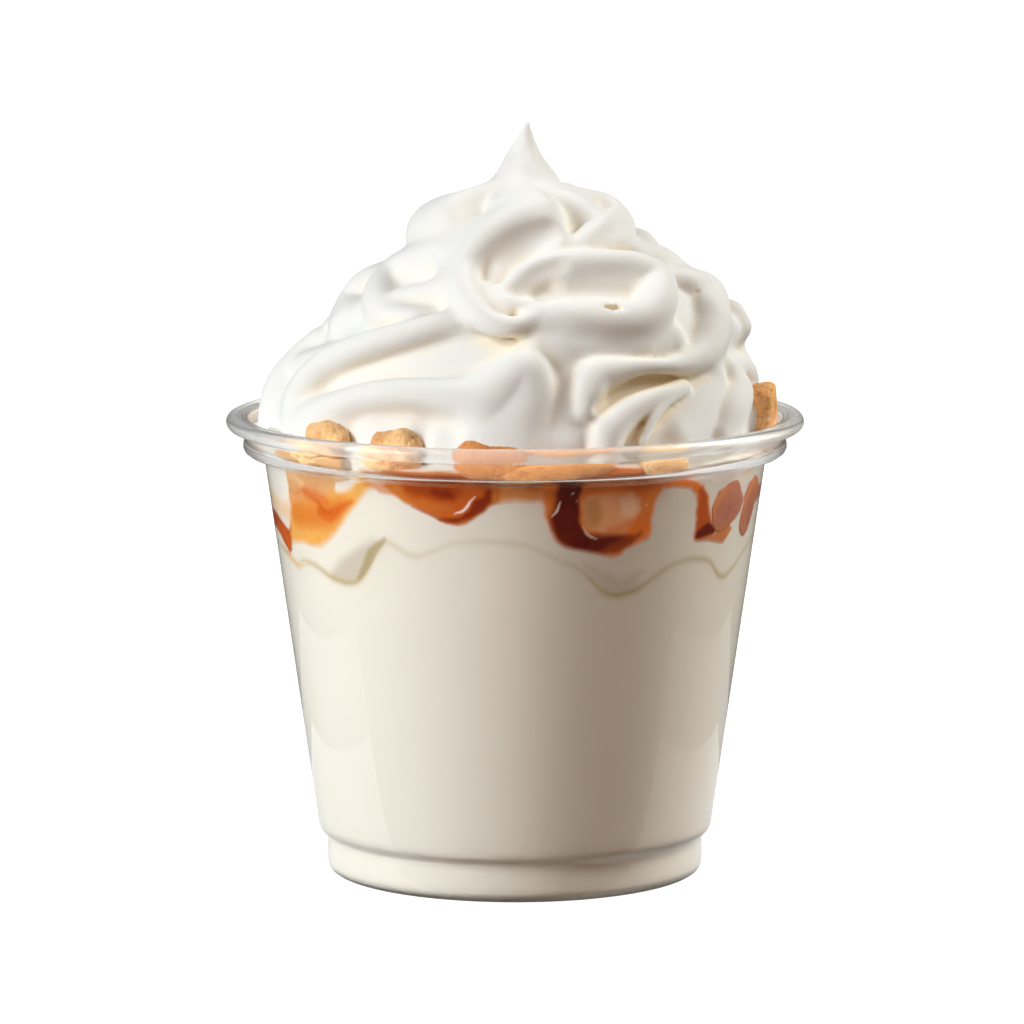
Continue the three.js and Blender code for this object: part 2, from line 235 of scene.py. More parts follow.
def makeGrainGroup():
    # sugary crystals packed side by side
    group, inside, outside = newGroup(
        "sugarGrain",
        [("Scale", "NodeSocketFloat", 1500.0), ("Fine Scale", "NodeSocketFloat", 4000.0)],
        [("Height", "NodeSocketFloat"), ("Mask", "NodeSocketFloat")])
    where = group.nodes.new("ShaderNodeTexCoord")
    coarse = group.nodes.new("ShaderNodeTexVoronoi")
    fine = group.nodes.new("ShaderNodeTexVoronoi")
    for node, key in ((coarse, "Scale"), (fine, "Fine Scale")):
        join(group, where.outputs["Object"], node.inputs["Vector"])
        join(group, inside.outputs[key], node.inputs["Scale"])
    height = calc(group, "ADD", calc(group, "MULTIPLY", coarse.outputs["Distance"], -1.0),
                  calc(group, "MULTIPLY", fine.outputs["Distance"], -0.4))
    join(group, height, outside.inputs["Height"])
    pick = group.nodes.new("ShaderNodeSeparateColor")
    join(group, coarse.outputs["Color"], pick.inputs[0])
    join(group, pick.outputs[0], outside.inputs["Mask"])
    return group


grainGroup = makeGrainGroup()


def newMaterial(name, **settings):
    material = bpy.data.materials.new(name)
    material.use_nodes = True
    shader = material.node_tree.nodes["Principled BSDF"]
    for key, value in settings.items():
        shader.inputs[key.replace("_", " ")].default_value = value
    return material, material.node_tree, shader


def useGroup(tree, group, **values):
    node = tree.nodes.new("ShaderNodeGroup")
    node.node_tree = group
    for key, value in values.items():
        socket = node.inputs[key.replace("_", " ")]
        if isinstance(value, (int, float, tuple)):
            socket.default_value = value
        else:
            join(tree, value, socket)
    return node


def bumpFrom(tree, shader, height, distance, strength=1.0):
    bump = tree.nodes.new("ShaderNodeBump")
    bump.inputs["Strength"].default_value = strength
    bump.inputs["Distance"].default_value = distance
    join(tree, height, bump.inputs["Height"])
    join(tree, bump.outputs["Normal"], shader.inputs["Normal"])


def readPaint(tree, name, output="Fac"):
    node = tree.nodes.new("ShaderNodeAttribute")
    node.attribute_name = name
    return node.outputs[output]


def rampFrom(tree, share, stops):
    node = tree.nodes.new("ShaderNodeValToRGB")
    ramp = node.color_ramp
    while len(ramp.elements) < len(stops):
        ramp.elements.new(0.5)
    for element, (position, color) in zip(ramp.elements, stops):
        element.position = position
        element.color = (*color, 1)
    join(tree, share, node.inputs[0])
    return node.outputs["Color"]


cupLook = {
    "around": 256,
    "rollMiddle": (47.75, 77.1),
    "rollRadius": 1.22,
    "roughness": 0.05,
    "rimRoughness": 0.2,
    "rimClear": 0.86,  # the rolled rim is a little milky
    "ior": 1.49,
    "fillOverlap": 0.22,  # how far contents reach into the wall
    "fillWidest": 42.2,  # contents stay inside this above the collar
    "rimFrom": 75.6,  # the milky part starts at this height
}
# outside of the wall from the middle of the base to the roll, radius and height
cupOuter = [
    (0, 1.6), (14, 1.6), (24, 1.6), (26.6, 1.55), (27.6, 1.3), (28.4, 0.75), (29.0, 0.2), (29.6, 0.0),
    (30.5, 0.0), (31.0, 0.12), (31.5, 0.45), (31.85, 0.95), (32.0, 1.6), (32.0, 3.4), (31.98, 5.3),
    (32.0, 5.9), (32.15, 6.35), (32.5, 6.7), (32.95, 7.0), (33.3, 7.4), (33.52, 8.0), (33.65, 8.8),
    (34.1, 12.0), (36.0, 25.4), (38.0, 39.4), (40.0, 53.4), (41.5, 63.9), (42.45, 70.4), (42.6, 71.0),
    (42.95, 71.45), (43.6, 71.65), (44.5, 71.7), (45.3, 71.85), (45.85, 72.25), (46.08, 72.8),
    (46.05, 73.4), (45.95, 73.9), (45.95, 74.8), (46.0, 75.4), (46.2, 75.78), (46.6, 75.92),
]
# inside of the wall from the roll down to the middle of the floor
cupInner = [
    (46.75, 78.22), (46.5, 78.02), (46.3, 78.1), (46.1, 78.16), (45.9, 78.0), (45.7, 77.84), (45.5, 77.9),
    (45.3, 77.85), (45.2, 77.5), (45.25, 76.2), (45.2, 74.4), (45.2, 73.5), (45.05, 72.9), (44.6, 72.55),
    (43.8, 72.4), (42.9, 72.3), (42.2, 72.0), (41.85, 71.4), (41.72, 70.4), (40.8, 63.9), (39.3, 53.4),
    (37.3, 39.4), (35.3, 25.4), (33.4, 12.0), (32.95, 8.8), (32.8, 8.1), (32.5, 7.6), (32.0, 7.2),
    (31.5, 6.8), (31.3, 6.3), (31.3, 3.4), (31.3, 1.7), (31.2, 1.2), (30.9, 0.85), (30.4, 0.7), (29.8, 0.75),
    (29.3, 1.0), (28.6, 1.6), (27.9, 2.05), (26.8, 2.25), (24, 2.3), (14, 2.3), (0, 2.3),
]
# the profile is drawn for a rim 49 mm out and 78.3 mm up and follows the size of the cup's solid
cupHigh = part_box("cup")[1]
cupWide = cupHigh.x / mm / 49.0
cupTall = cupHigh.z / mm / 78.3
cupOuter = [(r * cupWide, z * cupTall) for r, z in cupOuter]
cupInner = [(r * cupWide, z * cupTall) for r, z in cupInner]
innerHeights = np.array([z for r, z in reversed(cupInner[12:-8])])
innerRadii = np.array([r for r, z in reversed(cupInner[12:-8])])


def wallRadius(z):
    return np.interp(z, innerHeights, innerRadii)


def fillRadius(z):
    # contents bite a little into the wall up to the collar, then stand clear of it
    return np.minimum(wallRadius(z) + cupLook["fillOverlap"], cupLook["fillWidest"])


def makePlastic(name, clear):
    # the thick rolled rim and the ledge under it are a little cloudier than the wall
    material, tree, shader = newMaterial(
        name, Base_Color=(0.985, 0.99, 0.99, 1), Roughness=cupLook["roughness"],
        IOR=cupLook["ior"], Transmission_Weight=clear)
    cloudy = calc(tree, "MULTIPLY", readPaint(tree, "cloudy"), cupLook["rimRoughness"])
    join(tree, calc(tree, "ADD", cloudy, cupLook["roughness"]), shader.inputs["Roughness"])
    mottle = useGroup(tree, mottleGroup, Patch_Scale=90.0, Tooth_Scale=260.0, Tooth=0.15)
    bumpFrom(tree, shader, mottle.outputs["Height"], 0.00003, 0.5)  # faint flow waves of moulded plastic
    path = tree.nodes.new("ShaderNodeLightPath")
    shadow = tree.nodes.new("ShaderNodeBsdfTransparent")  # lets light through to the drink
    shadow.inputs["Color"].default_value = (0.96, 0.965, 0.965, 1)
    mix = tree.nodes.new("ShaderNodeMixShader")
    join(tree, path.outputs["Is Shadow Ray"], mix.inputs[0])
    join(tree, shader.outputs[0], mix.inputs[1])
    join(tree, shadow.outputs[0], mix.inputs[2])
    join(tree, mix.outputs[0], tree.nodes["Material Output"].inputs["Surface"])
    return material


def makeCup():
    rollR, rollZ = cupLook["rollMiddle"][0] * cupWide, cupLook["rollMiddle"][1] * cupTall
    size = cupLook["rollRadius"]
    roll = [(rollR + size * math.cos(math.radians(a)), rollZ + size * math.sin(math.radians(a)))
            for a in range(-110, 105, 13)]
    profile = np.array(cupOuter + roll + cupInner, float)
    profile[0, 0] = profile[-1, 0] = 0.01
    radius = np.repeat(profile[:, :1], cupLook["around"], 1)
    height = np.repeat(profile[:, 1:], cupLook["around"], 1)
    verts, quads = ringGrid(radius, height, cupLook["around"])
    cup = addPiece("clearCup", verts, quads, makePlastic("clearPlastic", 1.0), ["cup"])
    z = height.ravel()
    cup.data.materials.append(makePlastic("rimPlastic", cupLook["rimClear"]))
    cup.data.polygons.foreach_set("material_index", (z[quads].min(1) > cupLook["rimFrom"] * cupTall).astype(np.int32))
    ledge = smoothStep(70.4, 71.6, z) * smoothStep(75.6, 74.6, z)
    paint(cup, "cloudy", smoothStep(74.6, 75.6, z) + 0.4 * ledge)
    return cup


makeCup()
report("cup")

waveLook = {
    # azimuth and height of the edge along the wall, all the way round
    "edge": [(-90, 57), (-80, 57.5), (-70, 56), (-65, 54.6), (-60, 56), (-55, 55.5), (-50, 54), (-45, 53.5),
    (-41, 53.8),
             (-38, 55.4), (-35, 58.2), (-33, 60.2), (-31, 61.9), (-28, 60.2), (-24, 59), (-20, 60), (-15, 61.8),
             (-8, 62.3), (0, 62),
             (5, 61), (10, 59), (15, 57.6), (18, 55.6), (21, 53.2), (25, 52.4), (30, 53), (35, 55.2), (40, 57),
             (46, 57.5), (52, 57), (55, 56), (57, 54), (61, 53), (65, 54), (70, 56), (80, 58.5), (92, 60.5),
             (104, 58.5), (114, 55), (124, 53.4), (134, 55), (144, 59), (156, 61.6), (168, 61), (180, 57.5),
             (190, 54), (200, 53.6), (210, 56.5), (222, 60.6), (234, 61.4), (246, 59), (256, 55.6), (264, 55.4)],
    "middle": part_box("milkshake")[1].z / mm,
    "line": 0.62,  # half width of the tan line
}
edgeAz = np.array([p[0] for p in waveLook["edge"]], float)
edgeZ = np.array([p[1] for p in waveLook["edge"]], float)


def edgeHeight(azimuth):
    a = (np.asarray(azimuth, float) + 90) % 360 - 90
    fine = np.arange(-90, 271, 1.0)
    rough = np.interp(fine, np.append(edgeAz, 270), np.append(edgeZ, edgeZ[0]))
    kernel = np.exp(-(np.arange(-4, 5) / 1.8) ** 2)
    padded = np.concatenate([rough[-5:-1], rough, rough[1:5]])
    soft = np.convolve(padded, kernel / kernel.sum(), "valid")
    return np.interp(a, fine, soft)


shakeLook = {
    "color": (0.662, 0.622, 0.56, 1),
    "drift": (0.632, 0.592, 0.525, 1),
    "bubbleColor": (0.80, 0.70, 0.56),
    "bubbleShare": 0.25,
    "roughness": 0.38,
    "around": 360,
    "plainTop": 50,  # the wall is followed without a wave up to here, mm
    "coreRadius": 24.0,  # the flat middle of its top
}
lineColor = (0.42, 0.325, 0.17)  # thin tan line where shake and cream meet


def makeShakeMaterial():
    look = shakeLook
    material, tree, shader = newMaterial("vanillaShake", Roughness=look["roughness"], Specular_IOR_Level=0.0)
    mottle = useGroup(tree, mottleGroup, Color=look["color"], Drift_Color=look["drift"], Drift=0.35,
                      Patch_Scale=35.0, Tooth_Scale=700.0, Tooth=0.4)
    bubbles = useGroup(tree, bubbleGroup, Scale=420.0, Size=0.16, Amount=0.12)
    color = blendColor(tree, calc(tree, "MULTIPLY", bubbles.outputs["Mask"], look["bubbleShare"]),
                       mottle.outputs["Color"], look["bubbleColor"])
    color = blendColor(tree, readPaint(tree, "line"), color, lineColor)
    join(tree, color, shader.inputs["Base Color"])
    bumpFrom(tree, shader, mottle.outputs["Height"], 0.00003)
    return material


def makeShake():
    look = shakeLook
    around = look["around"]
    az = np.arange(around) * 360 / around
    edge = edgeHeight(az)
    middle = waveLook["middle"]
    floorLine = [(0.01, 2.2), (14, 2.2), (24, 2.2), (26.8, 2.15), (27.8, 1.95), (28.5, 1.5), (29.2, 0.88),
                 (29.8, 0.62), (30.4, 0.55)]
    low = np.array([0.75, 1.1, 1.7, 2.7, 3.4, 5.0, 6.3, 6.8, 7.2, 7.6, 8.1, 8.8, 10, 13, 18, 24, 30, 36, 42, 47,
                    look["plainTop"]])
    rings = [(np.full(around, r), np.full(around, z)) for r, z in floorLine + list(zip(fillRadius(low), low))]
    for share in (0.4, 0.6, 0.75, 0.86, 0.93, 0.97, 0.999, 1.0):
        z = look["plainTop"] + (edge - look["plainTop"]) * share
        rings.append((fillRadius(z), z))
    rings.append((fillRadius(edge) - 1.2, edge + 0.05))
    rings.append((fillRadius(edge) - 6, (edge + middle) / 2))
    for radius in (look["coreRadius"], 0.01):
        rings.append((np.full(around, radius), np.full(around, middle)))
    verts, quads, z = stackRings(rings, around)
    piece = addPiece("shakeBody", verts, quads, makeShakeMaterial(), ["milkshake"])
    azAll = np.tile(az, len(rings))
    paintLine(piece, azAll, z)
    return piece


def lineStrength(az):
    # the tan line is stronger in the troughs than on the crests
    trough = smoothStep(60, 53, edgeHeight(az))
    wander = np.array([noise.noise(Vector((math.sin(math.radians(a)) * 4, math.cos(math.radians(a)) * 4, 3.0)))
                       for a in np.asarray(az).ravel()])
    return np.clip(0.30 + 0.45 * trough + 0.45 * wander, 0.06, 0.9)


def paintLine(piece, az, z):
    gap = np.abs(z - edgeHeight(az))
    paint(piece, "line", lineStrength(az) * np.exp(-(gap / waveLook["line"]) ** 2))


makeShake()
report("shake")

creamLook = {
    "color": (0.85, 0.85, 0.84, 1),
    "drift": (0.84, 0.825, 0.795, 1),
    # painted shade: the warm tint put into the hollows between the folds
    "valleyShadeColor": (0.88, 0.79, 0.62),
    "roughness": 0.48,
    "subsurface": 0.15,
    "scatter": (1.0, 0.75, 0.45),
    "scatterScale": 2.0 * mm,
}


def makeCreamMaterial(name, color, drift, scatter, shine=0.35):
    look = creamLook
    material, tree, shader = newMaterial(
        name, Roughness=look["roughness"], Subsurface_Weight=scatter,
        Subsurface_Radius=look["scatter"], Subsurface_Scale=look["scatterScale"], Specular_IOR_Level=shine)
    mottle = useGroup(tree, mottleGroup, Color=color, Drift_Color=drift, Drift=0.5,
                      Patch_Scale=70.0, Tooth_Scale=1300.0, Tooth=0.5)
    bubbles = useGroup(tree, bubbleGroup, Scale=650.0, Size=0.16, Amount=0.05)
    # painted shade: the warm valley colour, laid where the surface lies deep in a hollow
    color = blendColor(tree, readPaint(tree, "paintedHollowShade"), mottle.outputs["Color"], look["valleyShadeColor"])
    color = blendColor(tree, readPaint(tree, "shade"), color, readPaint(tree, "shadeColor", "Color"))
    color = blendColor(tree, readPaint(tree, "line"), color, lineColor)
    join(tree, color, shader.inputs["Base Color"])
    height = calc(tree, "ADD", mottle.outputs["Height"], calc(tree, "MULTIPLY", bubbles.outputs["Height"], 1.5))
    bumpFrom(tree, shader, height, 0.00005)
    return material


# soft shading of the folds in the cream, painted as colour, laid out like the sauce further down
bandColors = {"grey": (0.49, 0.43, 0.355), "umber": (0.36, 0.27, 0.14), "ochre": (0.58, 0.42, 0.24), "dim": (0.54,
    0.47, 0.395)}
bandShapes = {
    "fold": [
        ("grey", 0.95, 1.4, [(-50, 55.4), (-46, 57.6), (-42, 59.4), (-38, 60.8), (-34.6, 62), (-33, 61), (-36, 58),
                             (-39, 55), (-41, 53.6), (-45, 53.2), (-50, 53.6)]),
        ("umber", 0.9, 0.5, [(-41, 54.4), (-38.8, 57.2), (-36.6, 59.6), (-34.2, 61.4), (-31.6, 62.5), (-30.8, 61.8),
                             (-33, 59.8), (-35, 57.8), (-38, 55), (-40, 53.8)]),
    ],
    "slump": [
        ("dim", 0.9, 1.5, [(16, 58.5), (19, 58), (22, 57), (26, 56), (30, 56.2), (32, 56.6), (31, 55), (30, 53.4),
                           (26, 52.6), (21, 53.4), (18, 55.6)]),
        ("umber", 0.7, 0.5, [(18, 55.6, 0.15), (19, 54.2, 0.3), (21, 53, 0.45), (25, 52.5, 0.5), (29, 52.9, 0.4),
                             (33, 54.4, 0.15)]),
        ("grey", 0.7, 0.4, [(27.6, 56.2, 0.15), (30.6, 56.3, 0.3), (33, 56, 0.1)]),
        ("ochre", 0.5, 0.6, [(16, 58.4, 0.2), (19.5, 57, 0.3), (22.5, 56.4, 0.15)]),
        ("ochre", 0.8, 0.5, [(49, 57.3, 0.15), (52, 56.4, 0.35), (55, 55.2, 0.45), (57, 53.9, 0.15)]),
    ],
}
bandLayout = [("fold", 0, 1, 0), ("slump", 0, 1, 0), ("fold", 150, -1, 0), ("slump", 150, 1, 1)]
bandLook = {
    "around": 720,
    "top": 76.5,
    "topRadius": 36.0,
    "rippled": 0.5,  # depth of the ripples just under the rim
}
wallUnrolled = math.radians(1) * 41.0  # mm of wall in one degree


def distanceTo(x, y, points, closed):
    # least distance from (x, y) to the line through the points, and the half width there;
    # inside is True within an outline
    best = np.full(x.shape, 1e9)
    width = np.zeros(x.shape)
    inside = np.zeros(x.shape, bool)
    ends = points[1:] + points[:1] if closed else points[1:] or points  # a lone point is a dot
    pairs = list(zip(points, ends))
    for p, q in pairs:
        dx, dy = q[0] - p[0], q[1] - p[1]
        share = np.clip(((x - p[0]) * dx + (y - p[1]) * dy) / (dx * dx + dy * dy + 1e-9), 0, 1)
        away = np.hypot(x - p[0] - dx * share, y - p[1] - dy * share)
        nearer = away < best
        best = np.where(nearer, away, best)
        if closed:
            crosses = ((p[1] > y) != (q[1] > y)) & (x < dx * (y - p[1]) / (dy if dy else 1e-9) + p[0])
            inside ^= crosses
        else:
            width = np.where(nearer, p[2] + (q[2] - p[2]) * share, width)
    return best, width, inside


def spreadShapes(azimuth, z, base, layout, shapesOf, colorOf, waver):
    # colour of the shapes laid over the base, and how much of it they cover
    arcLength = wallUnrolled
    color = np.zeros(azimuth.shape + (3,)) + np.array(base)
    cover = np.zeros(azimuth.shape)
    a = np.radians(azimuth)
    x = azimuth * arcLength + waver * (np.sin(z * 1.7 + 5 * np.sin(a * 3)) + 0.5 * np.sin(z * 3.1 + a * 23))
    y = z + waver * (np.sin(a * 29 + z * 0.6) + 0.5 * np.sin(a * 53 - z * 1.1))
    for key, turned, way, up in layout:
        shapes = shapesOf[key]
        middle = np.mean([p[0] for shape in shapes for p in shape[3]])
        for tint, strength, soft, outline in shapes:
            points = [((middle + turned + way * (p[0] - middle)) * arcLength, p[1] + up, *p[2:]) for p in outline]
            centre = np.mean([p[0] for p in points])
            reach = max(abs(p[0] - centre) for p in points) + 4
            low, high = min(p[1] for p in points) - 4, max(p[1] for p in points) + 4
            turn = 360 * arcLength
            near = (x - centre + 1.5 * turn) % turn - 0.5 * turn
            box = (np.abs(near) < reach) & (y > low) & (y < high)
            if not box.any():
                continue
            away, width, inside = distanceTo(near[box] + centre, y[box], points, len(outline[0]) == 2)
            depth = np.where(inside, away, -away) if len(outline[0]) == 2 else width - away
            share = strength * smoothStep(-soft, soft, depth)
            color[box] += (np.array(colorOf[tint]) - color[box]) * share[:, None]
            cover[box] += (1 - cover[box]) * share
    return color, cover


def makeCreamBand():
    look = bandLook
    around = look["around"]
    az = np.arange(around) * 360 / around
    edge = edgeHeight(az)
    top = look["top"]
    middle = waveLook["middle"]
    rings = [(np.full(around, radius), np.full(around, middle)) for radius in (0.01, shakeLook["coreRadius"])]
    rings += [(fillRadius(edge) - 6, (edge + middle) / 2), (fillRadius(edge) - 1.0, edge - 0.05)]
    shares = np.concatenate([[0, 0.0008, 0.012, 0.025, 0.05], np.linspace(0.08, 1, 40)])
    for share in shares:
        z = edge + (top - edge) * share
        ripple = look["rippled"] * smoothStep(72.5, 75, z) * smoothStep(72, 74,
            z) * np.sin(np.radians(az) * 17 + z * 0.6)
        rings.append((fillRadius(z) - np.maximum(ripple, 0), z))
    for radius in (look["topRadius"], 0.01):
        rings.append((np.full(around, radius), np.full(around, top)))
    verts, quads, z = stackRings(rings, around)
    material = makeCreamMaterial("softCream", shakeLook["color"], shakeLook["drift"], 0.0, 0.0)
    piece = addPiece("creamBand", verts, quads, material, ["cream_layer"])
    azAll = np.tile(az, len(rings))
    paintLine(piece, azAll, z)
    color, cover = spreadShapes(azAll, z, shakeLook["color"][:3], bandLayout, bandShapes, bandColors, 0.1)
    paint(piece, "shade", cover)
    paintColor(piece, "shadeColor", color)
    paint(piece, "paintedHollowShade", 0.0 * z)
    return piece


makeCreamBand()
report("cream band")

sauceLook = {
    "around": 1120,
    "rise": 0.27,  # height of one row of the skin, mm
    "lift": 0.06,  # how far the sauce stands in front of the cream, inside the wall
    "ground": 0.04,  # how far it sinks away where there is none
    "spill": 1.7,  # how far it runs out over the ledge under the rim
    "waver": 0.1,  # how much the edges wander, mm
    "bottomRadius": 38.6,
    "topRadius": 41.0,
    "inside": [(39.0, 75.2), (38.0, 64.0), (39.0, 53.5)],  # the ring's hidden side, radius and height
    "hiddenColor": (0.3, 0.1, 0.03),
    "roughness": 0.16,
}
sauceColors = {
    "peach": (0.70, 0.47, 0.28), "straw": (0.66, 0.35, 0.085), "gold": (0.57, 0.18, 0.025), "amber": (0.55, 0.12,
        0.015),
    "sand": (0.56, 0.29, 0.105), "tan": (0.50, 0.15, 0.025), "rust": (0.45, 0.08, 0.008), "brick": (0.31, 0.045, 0.004),
    "treacle": (0.20, 0.015, 0.001), "black": (0.12, 0.002, 0.0001), "bright": (0.82, 0.22, 0.03), "glow": (0.84,
        0.32, 0.07),
    "ginger": (0.68, 0.165, 0.022), "veil": (0.62, 0.25, 0.08), "blush": (0.86, 0.46, 0.25), "milk": (0.95, 0.66, 0.48),
    "rose": (0.38, 0.13, 0.07), "shine": (0.95, 0.86, 0.76), "cloud": (0.76, 0.65, 0.58),
}
